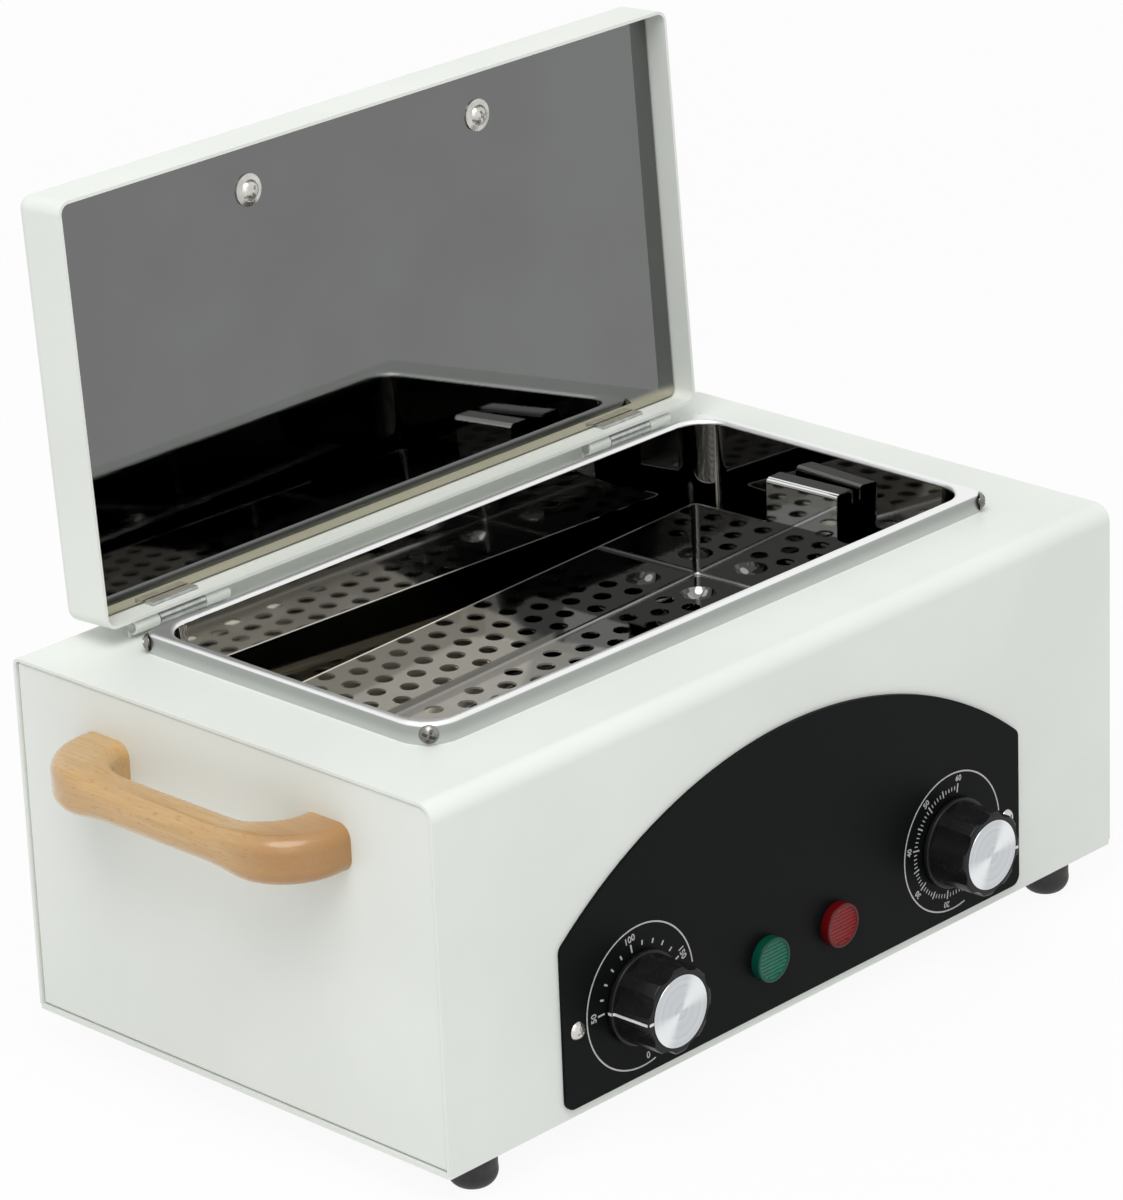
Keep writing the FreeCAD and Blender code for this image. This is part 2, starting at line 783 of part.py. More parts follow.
def tank_screw_places():
    # On the skirt's rounded corners, facing outwards at 45 degrees
    places = []
    for sx in (-1, 1):
        for sy in (-1, 1):
            corner = tank_near_corner if sx < 0 and sy < 0 else tank_corner
            direction = Vector(sx, sy, 0).normalize()
            centre = Vector(sx * (tank_length / 2 - corner), sy * (tank_depth / 2 - corner),
                            z_rim - tank_screw_rise)
            places.append((centre + direction * corner, direction))
    return places


def tank_loft(grow, z0, z1):
    # The tapered inside of the tank between two heights, grown outwards by a wall
    wires = []
    for z in (z0, z1):
        inset = tank_rim_width + tank_taper * (z_rim - z) / tank_inside_height - grow
        wires.append(rounded_wire(tank_length - 2 * inset, tank_depth - 2 * inset, tank_pan_corner + grow, z))
    return Part.makeLoft(wires, True, True)


def make_tank():
    skirt = collar_block(0, z_top, z_rim)
    skirt = skirt.makeFillet(tank_rim_round, edges_at(skirt, z_rim))
    hollow = collar_block(tank_sheet, z_top - over, z_rim - tank_sheet)
    hollow = hollow.makeFillet(tank_rim_round - tank_sheet, edges_at(hollow, z_rim - tank_sheet))
    outside = tank_loft(tank_sheet, z_tank_bottom, z_rim - tank_sheet / 2)
    outside = outside.makeFillet(tank_floor_round + tank_sheet, edges_at(outside, z_tank_bottom))
    inside = tank_loft(0, z_tank_floor, z_rim + over)
    inside = inside.makeFillet(tank_floor_round, edges_at(inside, z_tank_floor))
    tank = skirt.cut(hollow).fuse(outside).cut(inside)
    lip_x = tank_length / 2 - tank_rim_width
    lip_y = tank_depth / 2 - tank_rim_width
    lip = [e for e in edges_at(tank, z_rim)
           if all(abs(v.X) < lip_x + 1e-3 and abs(v.Y) < lip_y + 1e-3 for v in e.Vertexes)]
    tank = tank.makeFillet(tank_lip_round, lip)
    studs = [rod(stud_radius, stud_length(), Vector(sx * stud_x, sy * stud_y, z_tank_bottom),
                 Vector(0, 0, -1)) for sx in (-1, 1) for sy in (-1, 1)]
    tank = tank.fuse(studs)
    holes = [rod(tank_screw_radius + fit_clearance, tank_sheet + 2 * over,
                 place - direction * (tank_sheet + over), direction)
             for place, direction in tank_screw_places()]
    return tank.cut(holes)


def stud_length():
    return (2 * element_radius + element_gap + clamp_thickness + shield_thickness + nut_thickness
            + stud_tail)


def make_tank_screws():
    return group([dome_screw(tank_screw_head, tank_screw_head_height, tank_screw_radius,
                             tank_screw_length, place, direction)
                  for place, direction in tank_screw_places()])


def hole_places():
    # Columns of holes, every other one shifted by half a pitch
    columns = 2 * int((basket_length / 2 - hole_field_inset) / hole_column_pitch) + 1
    rows = int((basket_depth - 2 * hole_edge_inset) / hole_pitch) + 1
    places = []
    for i in range(columns):
        shifted = i % 2
        count = rows - shifted
        x = (i - (columns - 1) / 2) * hole_column_pitch
        for j in range(count):
            places.append((x, (j - (count - 1) / 2) * hole_pitch))
    return places


def make_basket():
    z0 = z_basket_bottom
    z1 = z0 + basket_height
    outer = rounded_block(basket_length, basket_depth, basket_corner, z0, z1)
    outer = outer.makeFillet(basket_floor_round, edges_at(outer, z0))
    inner = rounded_block(basket_length - 2 * basket_sheet, basket_depth - 2 * basket_sheet,
                          basket_corner - basket_sheet, z0 + basket_sheet, z1 + over)
    inner = inner.makeFillet(basket_floor_round - basket_sheet, edges_at(inner, z0 + basket_sheet))
    basket = outer.cut(inner)
    ball = (dimple_radius ** 2 + dimple_depth ** 2) / (2 * dimple_depth)
    bowls = []
    hollows = []
    for sx in (-1, 1):
        for sy in (-1, 1):
            centre = Vector(sx * (basket_length / 2 - dimple_inset_x),
                            sy * (basket_depth / 2 - dimple_inset_y), z0 - dimple_depth + ball)
            cap = Part.makeSphere(ball, centre)
            bowls.append(cap.cut(box(-half_width, half_width, -half_depth, half_depth,
                                     z0 + basket_sheet / 2, z0 + 2 * ball)))
            hollows.append(Part.makeSphere(ball - basket_sheet, centre))
    basket = basket.fuse(bowls).cut(hollows)
    drills = [rod(hole_radius, basket_sheet + 2 * over, Vector(x, y, z0 - over)) for x, y in hole_places()]
    basket = basket.cut(drills)
    lug = make_lug(z1)
    basket = basket.fuse([lug, mirror_x(lug)])
    basket.rotate(Vector(0, 0, 0), up, basket_skew)
    basket.translate(Vector(0, basket_shift, 0))
    return basket


def make_lug(z1):
    # The raised lifting lug of the right end wall: up, outwards and down again
    wall = basket_length / 2
    half = lug_width / 2
    top = z1 + lug_rise
    outer = box(wall - basket_sheet, wall + lug_reach, -half, half, z1 - basket_sheet, top)
    bends = [e for e in outer.Edges if e.BoundBox.XLength < 1e-4 and abs(e.BoundBox.ZMin - top) < 1e-4]
    outer = outer.makeFillet(lug_bend + basket_sheet, bends)
    inner = box(wall, wall + lug_reach - basket_sheet, -half - over, half + over, z1 - 2 * over,
                top - basket_sheet)
    bends = [e for e in inner.Edges if e.BoundBox.XLength < 1e-4
             and abs(e.BoundBox.ZMin - top + basket_sheet) < 1e-4]
    inner = inner.makeFillet(lug_bend, bends)
    skirt = box(wall + lug_reach / 2, wall + lug_reach + over, -half - over, half + over, z1 - 2 * over,
                top - lug_drop)
    return outer.cut([inner, skirt])


def element_z():
    return z_tank_bottom - element_gap - element_radius


def make_heating_element():
    # A serpentine tube of four runs joined by half-round bends
    z = element_z()
    bend = element_pitch / 2
    runs = [(i - 1.5) * element_pitch for i in range(4)]
    reach = element_reach - bend
    shapes = []
    for i, y in enumerate(runs):
        x0 = -element_reach if i in (0, 3) else -reach
        shapes.append(rod(element_radius, reach - x0, Vector(x0, y, z), along))
    for i in range(3):
        side = 1 if i % 2 == 0 else -1
        centre = Vector(side * reach, (runs[i] + runs[i + 1]) / 2, z)
        ring = Part.makeTorus(bend, element_radius, centre, up)
        keep = box(0, bend + 2 * element_radius, -2 * bend, 2 * bend, -2 * element_radius,
                   2 * element_radius)
        if side < 0:
            keep = mirror_x(keep)
        keep.translate(centre)
        shapes.append(ring.common(keep))
    element = shapes[0].fuse(shapes[1:])
    pins = [rod(element_pin_radius, element_pin_length, Vector(-element_reach, y, z), Vector(-1, 0, 0))
            for y in (runs[0], runs[3])]
    return mirror_x(element.fuse(pins))


def make_clamp_bars():
    z1 = element_z() - element_radius
    bars = []
    for sx in (-1, 1):
        x = sx * stud_x
        half = 1.5 * element_pitch + element_radius + clamp_overhang
        bar = box(x - clamp_width / 2, x + clamp_width / 2, -half, half, z1 - clamp_thickness, z1)
        for sy in (-1, 1):
            bar = bar.cut(rod(stud_radius + stud_clearance, clamp_thickness + 2 * over,
                              Vector(x, sy * stud_y, z1 - clamp_thickness - over)))
        bars.append(bar)
    return group(bars)


def shield_top():
    return element_z() - element_radius - clamp_thickness


def make_heat_shield():
    z1 = shield_top()
    z0 = z1 - shield_thickness
    shield = rounded_block(shield_length, shield_depth, shield_corner, z0, z1)
    cuts = [rod(stud_radius + stud_clearance, shield_thickness + 2 * over,
                Vector(sx * stud_x, sy * stud_y, z0 - over)) for sx in (-1, 1) for sy in (-1, 1)]
    return shield.cut(cuts)


def make_stud_nuts():
    z1 = shield_top() - shield_thickness
    nuts = []
    for sx in (-1, 1):
        for sy in (-1, 1):
            place = Vector(sx * stud_x, sy * stud_y, z1)
            nut = hexagon(nut_flats, nut_thickness, place, Vector(0, 0, -1))
            nuts.append(nut.cut(rod(stud_radius + fit_clearance, nut_thickness + 2 * over,
                                    place + up * over, Vector(0, 0, -1))))
    return group(nuts)


def make_thermostat_bulb():
    # The bulb lies between the element's inner runs, and its capillary runs to the thermostat
    z = z_tank_bottom - element_gap - bulb_radius
    bulb = rod(bulb_radius, 2 * bulb_reach, Vector(-bulb_reach, 0, z), along)
    x_out = -shield_length / 2 - capillary_gap_x
    x_in = -dial_x - thermostat_radius * 0.5
    y_end = y_inner_front + thermostat_depth
    low = z_dial + thermostat_radius * 0.4
    y_out = y_end + capillary_gap_y
    points = [(-bulb_reach, 0, z), (x_out, 0, z), (x_out, 0, low), (x_out, y_out, low),
              (x_in, y_out, low), (x_in, y_end, low)]
    return bulb.fuse(tube_path(points, capillary_radius, capillary_bend))


def make_thermal_cutout():
    z1 = shield_top() - shield_thickness
    can = rod(cutout_radius, cutout_height, Vector(cutout_x, 0, z1 - cutout_height))
    pins = []
    for side in (-1, 1):
        x = cutout_x + side * cutout_blade_spread
        pins.append(box(x - blade_thickness / 2, x + blade_thickness / 2, -blade_width / 2, blade_width / 2,
                        z1 - cutout_height - blade_length, z1 - cutout_height))
    return can.fuse(pins)


def lid_block(inset, z0, z1):
    y = lid_back - lid_depth / 2
    return rounded_block(lid_width - 2 * inset, lid_depth - 2 * inset, lid_corner - inset, z0, z1, y)


def lid_slot():
    # Where the lid leaf's neck passes the lid's hinge wall
    outer_spans, middle = knuckle_spans()
    z0 = z_axis + barrel_radius - leaf_sheet
    return box(middle[0] - leaf_slot_clearance, middle[1] + leaf_slot_clearance,
               lid_back - lid_sheet - over, lid_back + over, z0 - leaf_slot_clearance,
               z0 + leaf_sheet + leaf_slot_clearance)


def liner_screw_places():
    y = lid_back - lid_depth + liner_screw_inset
    return [(-liner_screw_x, y), (liner_screw_x, y)]


def make_lid_shell():
    z0 = z_lid_rim
    z1 = z0 + lid_height
    outer = lid_block(0, z0, z1)
    outer = outer.makeFillet(lid_edge_round, edges_at(outer, z1))
    inner = lid_block(lid_sheet, z0 - over, z1 - lid_sheet)
    inner = inner.makeFillet(lid_edge_round - lid_sheet, edges_at(inner, z1 - lid_sheet))
    shell = outer.cut(inner)
    z_liner = z0 + liner_recess + liner_sheet
    bosses = []
    bores = []
    for x, y in liner_screw_places():
        bosses.append(rod(liner_boss_radius, z1 - lid_sheet / 2 - z_liner, Vector(x, y, z_liner)))
        bores.append(rod(liner_screw_radius + fit_clearance, z1 - lid_sheet - z_liner + over,
                         Vector(x, y, z_liner - over)))
    shell = shell.fuse(bosses)
    return shell.cut(bores + [lid_slot(), mirror_x(lid_slot())])


def make_lid_liner():
    # A bright tray whose edges fold away from the opening
    inset = lid_sheet + liner_clearance
    z0 = z_lid_rim + liner_recess
    tray = lid_block(inset, z0, z0 + liner_fold)
    tray = tray.makeFillet(liner_edge_round, edges_at(tray, z0))
    hollow = lid_block(inset + liner_sheet, z0 + liner_sheet, z0 + liner_fold + over)
    tray = tray.cut(hollow)
    holes = [rod(liner_screw_radius + fit_clearance, liner_sheet + 2 * over, Vector(x, y, z0 - over))
             for x, y in liner_screw_places()]
    return tray.cut(holes)


def make_liner_washers():
    # Dished washers: thin cones around the screws
    z0 = z_lid_rim + liner_recess
    bore = liner_screw_radius + fit_clearance
    rise = liner_washer_height - liner_washer_sheet
    profile = [(bore, rise), (bore, liner_washer_height), (liner_washer_seat, liner_washer_height),
               (liner_washer_radius, liner_washer_sheet), (liner_washer_radius, 0),
               (liner_washer_seat, rise)]
    return group([revolved(profile, Vector(x, y, z0), Vector(0, 0, -1)) for x, y in liner_screw_places()])


def make_liner_screws():
    z0 = z_lid_rim + liner_recess - liner_washer_height
    length = lid_height - liner_recess + liner_washer_height - lid_sheet - fit_clearance
    return group([dome_screw(liner_screw_head, liner_screw_head_height, liner_screw_radius, length,
                             Vector(x, y, z0), Vector(0, 0, -1)) for x, y in liner_screw_places()])


def pin_bore(x0, x1, clearance):
    return rod(pin_radius + clearance, x1 - x0 + 2 * over, Vector(x0 - over, hinge_axis_y, z_axis), along)


def knuckle(x0, x1, neck, clearance):
    # A barrel over a span of x with its neck, bored for the pin
    ring = rod(barrel_radius, x1 - x0, Vector(x0, hinge_axis_y, z_axis), along)
    return ring.fuse(neck).cut(pin_bore(x0, x1, clearance))


def make_body_leaf():
    # Two knuckles whose necks go down through the top and turn back under it
    outer_spans, middle = knuckle_spans()
    y0 = hinge_axis_y + barrel_radius - leaf_sheet
    z0 = z_top - body_sheet - leaf_sheet
    pieces = []
    for x0, x1 in outer_spans:
        neck = box(x0, x1, y0, y0 + leaf_sheet, z0, z_axis)
        pieces.append(knuckle(x0, x1, neck, pin_fixed_clearance))
    plate = box(hinge_x - hinge_length / 2, hinge_x + hinge_length / 2, y0, y0 + leaf_plate, z0,
                z0 + leaf_sheet)
    return plate.fuse(pieces)


def make_lid_leaf():
    # The middle knuckle, its neck through the lid's hinge wall, and a plate inside that wall
    outer_spans, middle = knuckle_spans()
    x0, x1 = middle
    z0 = z_axis + barrel_radius - leaf_sheet
    y_wall = lid_back - lid_sheet
    neck = box(x0, x1, y_wall - leaf_sheet, hinge_axis_y, z0, z0 + leaf_sheet)
    ring = knuckle(x0, x1, neck, pin_running_clearance)
    plate = box(x0, x1, y_wall - leaf_sheet, y_wall, z0, z_lid_rim + liner_recess - leaf_liner_gap)
    return ring.fuse(plate)


def make_hinge_pin():
    length = hinge_length + 2 * pin_head
    x0 = hinge_x - hinge_length / 2 - pin_head
    pin = rod(pin_radius, length, Vector(x0, hinge_axis_y, z_axis), along)
    ends = [rod(pin_radius + pin_head_lip, pin_head, Vector(x, hinge_axis_y, z_axis), along)
            for x in (x0, x0 + length - pin_head)]
    return pin.fuse(ends)


def handle_side(x0, x1):
    # The handle seen from its side: full height at the legs, drawn in at the middle of the bar
    tall = handle_height / 2
    slim = handle_waist / 2
    step = (tall - slim) / 2
    run = handle_waist_run / 2
    radius = (run ** 2 + step ** 2) / (2 * step)
    turn = math.asin(run / radius) / 2
    dy = radius * math.sin(turn)
    dz = radius * (1 - math.cos(turn))
    end = handle_length / 2 + over
    y1 = handle_waist_half
    y2 = y1 + run
    y3 = y2 + run
    edges = []
    for up_down in (1, -1):
        sweep = [(-end, tall), (-y3, tall), (-y3 + dy, tall - dz), (-y2, tall - step),
                 (-y1 - dy, slim + dz), (-y1, slim), (y1, slim), (y1 + dy, slim + dz),
                 (y2, tall - step), (y3 - dy, tall - dz), (y3, tall), (end, tall)]
        p = [Vector(x0, handle_shift + y * up_down, z_handle + z * up_down) for y, z in sweep]
        edges += [Part.makeLine(p[0], p[1]), Part.Arc(p[1], p[2], p[3]).toShape(),
                  Part.Arc(p[3], p[4], p[5]).toShape(), Part.makeLine(p[5], p[6]),
                  Part.Arc(p[6], p[7], p[8]).toShape(), Part.Arc(p[8], p[9], p[10]).toShape(),
                  Part.makeLine(p[10], p[11])]
        down = Vector(x0, p[11].y, z_handle - tall * up_down)
        edges.append(Part.makeLine(p[11], down))
    return Part.Face(Part.Wire(edges)).extrude(Vector(x1 - x0, 0, 0))


def make_handle():
    # The right handle: a D in plan, rounded all along its edges
    x0 = half_width - end_plate_recess
    x1 = x0 + handle_reach
    half = handle_length / 2
    r = handle_outer_corner
    s = r * (1 - math.sqrt(0.5))
    y0 = handle_shift - half
    y1 = handle_shift + half
    z = z_handle - handle_height / 2
    points = [Vector(x0, y0, z), Vector(x1 - r, y0, z), Vector(x1, y0 + r, z), Vector(x1, y1 - r, z),
              Vector(x1 - r, y1, z), Vector(x0, y1, z)]
    near_arc = Part.Arc(points[1], Vector(x1 - s, y0 + s, z), points[2]).toShape()
    far_arc = Part.Arc(points[3], Vector(x1 - s, y1 - s, z), points[4]).toShape()
    outline = [Part.makeLine(points[0], points[1]), near_arc, Part.makeLine(points[2], points[3]),
               far_arc, Part.makeLine(points[4], points[5]), Part.makeLine(points[5], points[0])]
    blank = Part.Face(Part.Wire(outline)).extrude(Vector(0, 0, handle_height))
    gap = box(x0 - 2 * handle_inner_corner, x1 - handle_bar, y0 + handle_leg, y1 - handle_leg, z - over,
              z + handle_height + over)
    upright = [e for e in gap.Edges if e.BoundBox.ZLength > handle_height and e.BoundBox.XMin > x0]
    gap = gap.makeFillet(handle_inner_corner, upright)
    handle = blank.cut(gap).common(handle_side(x0 - over, x1 + over))
    rim = [e for e in handle.Edges if e.BoundBox.XMax > x0 + 1e-3
           and e.BoundBox.ZLength < handle_height / 2]
    handle = handle.makeFillet(handle_round, rim)
    bores = [rod(handle_screw_radius + fit_clearance, handle_screw_length,
                 Vector(x0 - over, leg, z_handle), along) for leg in handle_leg_places()]
    return handle.cut(bores)


def make_handle_screws():
    x0 = half_width - end_plate_recess - body_sheet
    length = handle_screw_length - 2 * over + body_sheet
    screws = [dome_screw(handle_screw_head, handle_screw_head_height, handle_screw_radius, length,
                         Vector(x0, leg, z_handle), Vector(-1, 0, 0)) for leg in handle_leg_places()]
    return group(screws + [mirror_x(s) for s in screws])


def make_inlet():
    # A rubber grommet let into the back wall
    outer = inlet_radius + inlet_lip
    face = body_sheet + inlet_flange
    profile = [(inlet_bore, -inlet_flange), (outer, -inlet_flange), (outer, 0), (inlet_radius, 0),
               (inlet_radius, body_sheet), (outer, body_sheet), (outer - inlet_bevel, face),
               (inlet_bore, face)]
    return revolved(profile, Vector(-inlet_x, half_depth - body_sheet, z_under + inlet_rise), back)


def make_terminal_block():
    x0 = -inlet_x - terminal_length / 2
    y0 = half_depth - terminal_inset
    block = box(x0, x0 + terminal_length, y0, y0 + terminal_depth, z_shell, z_shell + terminal_height)
    cuts = []
    for i in range(3):
        x = x0 + terminal_length * (i + 0.5) / 3
        cuts.append(rod(terminal_wire_bore, terminal_depth + 2 * over,
                        Vector(x, y0 - over, z_shell + terminal_height * 0.45), back))
        for y in (y0 + terminal_depth * 0.25, y0 + terminal_depth * 0.75):
            cuts.append(rod(terminal_screw_bore, terminal_height * 0.5,
                            Vector(x, y, z_shell + terminal_height * 0.6)))
    return block.cut(cuts)


write("body_wrap", make_body_wrap())
end_plate = make_end_plate()
write("end_plate_right", end_plate)
write("end_plate_left", mirror_x(end_plate))
write("base_plate", make_base_plate())
for foot_name, fx, fy in foot_places():
    write("foot_" + foot_name, make_foot(fx, fy))
write("foot_screws", make_foot_screws())
write("foot_nuts", make_foot_nuts())
write("base_screws", make_base_screws())
write("control_panel", make_control_panel())
write("panel_screws", make_panel_screws())

write("thermostat", make_thermostat(-dial_x))
write("timer", make_timer(dial_x))
dials = (("temperature", -1, thermostat_depth, 0), ("timer", 1, timer_depth, timer_turn))
for dial_name, side, dial_depth, dial_turn in dials:
    write(dial_name + "_shaft", make_shaft(side * dial_x, dial_depth, dial_turn))
    write(dial_name + "_nut", make_dial_nut(side * dial_x))
    write(dial_name + "_knob", make_knob(side * dial_x, dial_turn))
    write(dial_name + "_knob_cap", make_knob_cap(side * dial_x))
for lamp_name, side in (("green", -1), ("red", 1)):
    write("lamp_lens_" + lamp_name, make_lamp_lens(side * lamp_x))
    write("lamp_holder_" + lamp_name, make_lamp_holder(side * lamp_x))

write("tank", make_tank())
write("tank_screws", make_tank_screws())
write("basket", make_basket())
write("heating_element", make_heating_element())
write("element_clamp_bars", make_clamp_bars())
write("heat_shield", make_heat_shield())
write("stud_nuts", make_stud_nuts())
write("thermostat_bulb", make_thermostat_bulb())
write("thermal_cutout", make_thermal_cutout())

write("lid_shell", open_lid(make_lid_shell()))
write("lid_liner", open_lid(make_lid_liner()))
write("liner_washers", open_lid(make_liner_washers()))
write("liner_screws", open_lid(make_liner_screws()))
body_leaf = make_body_leaf()
lid_leaf = open_lid(make_lid_leaf())
hinge_pin = make_hinge_pin()
for side_name, turn in (("right", lambda s: s), ("left", mirror_x)):
    write("hinge_body_leaf_" + side_name, turn(body_leaf))
    write("hinge_lid_leaf_" + side_name, turn(lid_leaf))
    write("hinge_pin_" + side_name, turn(hinge_pin))

handle = make_handle()
write("handle_right", handle)
write("handle_left", mirror_x(handle))
write("handle_screws", make_handle_screws())
write("cable_inlet", make_inlet())
write("terminal_block", make_terminal_block())
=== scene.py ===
import json
import math

import bmesh
import bpy
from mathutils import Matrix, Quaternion, Vector


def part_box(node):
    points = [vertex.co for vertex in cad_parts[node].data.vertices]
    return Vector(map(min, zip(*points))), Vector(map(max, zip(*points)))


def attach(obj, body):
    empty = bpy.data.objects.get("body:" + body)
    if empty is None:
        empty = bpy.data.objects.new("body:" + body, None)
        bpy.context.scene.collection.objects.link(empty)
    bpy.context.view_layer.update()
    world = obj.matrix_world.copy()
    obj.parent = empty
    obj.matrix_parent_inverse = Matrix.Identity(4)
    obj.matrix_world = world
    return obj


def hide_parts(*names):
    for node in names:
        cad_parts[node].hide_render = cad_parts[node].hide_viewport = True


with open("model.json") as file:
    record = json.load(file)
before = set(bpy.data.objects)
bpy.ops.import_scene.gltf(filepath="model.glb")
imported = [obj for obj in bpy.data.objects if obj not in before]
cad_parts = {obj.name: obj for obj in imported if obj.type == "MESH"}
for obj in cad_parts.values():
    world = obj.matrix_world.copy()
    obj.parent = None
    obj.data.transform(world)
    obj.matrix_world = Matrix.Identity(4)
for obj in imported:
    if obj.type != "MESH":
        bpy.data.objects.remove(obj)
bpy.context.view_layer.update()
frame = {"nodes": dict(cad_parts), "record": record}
nodes = frame["nodes"]
mm = 0.001
print("frame loaded:", len(nodes), "nodes")

# where things are, read from the frame
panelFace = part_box("control_panel")[0].y
temperatureCentre = (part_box("temperature_knob_cap")[0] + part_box("temperature_knob_cap")[1]) / 2
timerCentre = (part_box("timer_knob_cap")[0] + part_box("timer_knob_cap")[1]) / 2
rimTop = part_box("tank")[1].z
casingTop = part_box("body_wrap")[1].z
basketTop = 0.114
basketFloor = 0.0895
forward = Vector((0, -1, 0))


# Shader helpers

class Signal:  # one output socket; sums written with it add Math nodes
    def __init__(self, finish, socket):
        self.finish = finish
        self.socket = socket

    def maths(self, operation, first, second):
        return self.finish.node("Math", {"operation": operation}, {0: first, 1: second})

    def __add__(self, other):
        return self.maths("ADD", self, other)

    def __radd__(self, other):
        return self.maths("ADD", other, self)

    def __sub__(self, other):
        return self.maths("SUBTRACT", self, other)

    def __rsub__(self, other):
        return self.maths("SUBTRACT", other, self)

    def __mul__(self, other):
        return self.maths("MULTIPLY", self, other)

    def __rmul__(self, other):
        return self.maths("MULTIPLY", other, self)

    def __truediv__(self, other):
        return self.maths("DIVIDE", self, other)

    def __pow__(self, other):
        return self.maths("POWER", self, other)

    def __abs__(self):
        return self.maths("ABSOLUTE", self, 0.0)

    def above(self, low, high):  # 0 below low, 1 above high, smooth between
        return self.finish.node("MapRange", {"interpolation_type": "SMOOTHSTEP"},
                                {"Value": self, "From Min": low, "From Max": high})

    def larger(self, other):
        return self.maths("MAXIMUM", self, other)


class Finish:  # a material with one Principled shader
    def __init__(self, name, settings):
        self.material = bpy.data.materials.new(name)
        self.material.use_nodes = True
        self.tree = self.material.node_tree
        self.shader = self.tree.nodes["Principled BSDF"]
        for socket, value in settings.items():
            self.shader.inputs[socket].default_value = value

    def node(self, kind, settings, sockets, output=0):
        made = self.tree.nodes.new("ShaderNode" + kind)
        for name, value in settings.items():
            if name == "stops":
                self.setStops(made.color_ramp.elements, value)
            else:
                setattr(made, name, value)
        for name, value in sockets.items():
            if isinstance(value, Signal):
                self.tree.links.new(value.socket, made.inputs[name])
            else:
                made.inputs[name].default_value = value
        return Signal(self, made.outputs[output])

    def maths(self, operation, value):
        return self.node("Math", {"operation": operation}, {0: value})

    def setStops(self, elements, stops):
        elements[0].position = stops[0][0]
        elements[1].position = stops[-1][0]
        for place, colour in stops[1:-1]:
            elements.new(place)
        for element, (place, colour) in zip(elements, stops):
            element.color = (*colour, 1)

    def feed(self, socket, signal):
        self.tree.links.new(signal.socket, self.shader.inputs[socket])

    def place(self, centre=(0, 0, 0), stretch=(1, 1, 1)):  # Object coordinates about a centre
        spot = self.node("TexCoord", {}, {}, "Object")
        spot = self.node("VectorMath", {"operation": "SUBTRACT"}, {0: spot, 1: centre})
        return self.node("VectorMath", {"operation": "MULTIPLY"}, {0: spot, 1: stretch})

    def parts(self, vector):  # its x, y and z
        made = self.node("SeparateXYZ", {}, {"Vector": vector})
        outputs = made.socket.node.outputs
        return Signal(self, outputs[0]), Signal(self, outputs[1]), Signal(self, outputs[2])

    def noise(self, vector, scale, detail=2.0, roughness=0.5):
        return self.node("TexNoise", {}, {"Vector": vector, "Scale": scale, "Detail": detail,
                                          "Roughness": roughness}, "Fac")

    def mix(self, factor, first, second):
        return self.node("Mix", {"data_type": "RGBA"}, {0: factor, 6: (*first, 1) if isinstance(first, tuple)
                         else first, 7: (*second, 1) if isinstance(second, tuple) else second}, 2)

    def bump(self, height, distance, strength=1.0):
        self.feed("Normal", self.node("Bump", {}, {"Height": height, "Distance": distance,
                                                   "Strength": strength}))


# Finishes

casingPaint = {"colour": (0.79, 0.82, 0.775), "shade": (0.76, 0.79, 0.745), "roughness": (0.38, 0.46),
               "peelScale": 620, "peelDepth": 0.00003, "swellScale": 14}


def makeCasingPaint():
    paint = Finish("casingPaint", {"Coat Weight": 0.05, "Coat Roughness": 0.3, "Specular IOR Level": 0.3})
    spot = paint.place()
    swell = paint.noise(spot, casingPaint["swellScale"], 3)
    paint.feed("Base Color", paint.mix(swell.above(0.35, 0.65), casingPaint["colour"], casingPaint["shade"]))
    low, high = casingPaint["roughness"]
    paint.feed("Roughness", low + paint.noise(spot, 90, 4) * (high - low))
    paint.bump(paint.noise(spot, casingPaint["peelScale"], 1), casingPaint["peelDepth"], 0.5)
    return paint.material


# painted light and shade: the bright and dark steel colours, the pale top-bend colour and the floor tint below stand
# for light and shade
mirrorSteel = {"bright": (0.80, 0.78, 0.73), "paintedShadeColour": (0.25, 0.25, 0.245), "bend": (0.85, 0.86, 0.85),
               "lightPoolHaze": 0.8, "floorLightPool": (0.29, 0.28, 0.255), "patchTo": 0.048, "patchLean": 0.3,
               "shadeFrom": -0.004, "shadeLean": 0.6, "shadeEdge": 0.003, "bendHeight": 0.0008,
               "roughness": (0.02, 0.05), "waveScale": 22, "waveDepth": 0.00014, "scratch": (60, 2600, 2600)}
# the skirt colours are painted reflection: mid-grey, paler at the foot
tankRim = {"skirtX": 0.124, "skirtY": 0.06025, "corner": 0.1772, "height": (0.0062, 0.0025),
           "colour": (0.40, 0.41, 0.405), "foot": (0.56, 0.57, 0.565), "roughness": 0.3, "bendRoughness": 0.35}


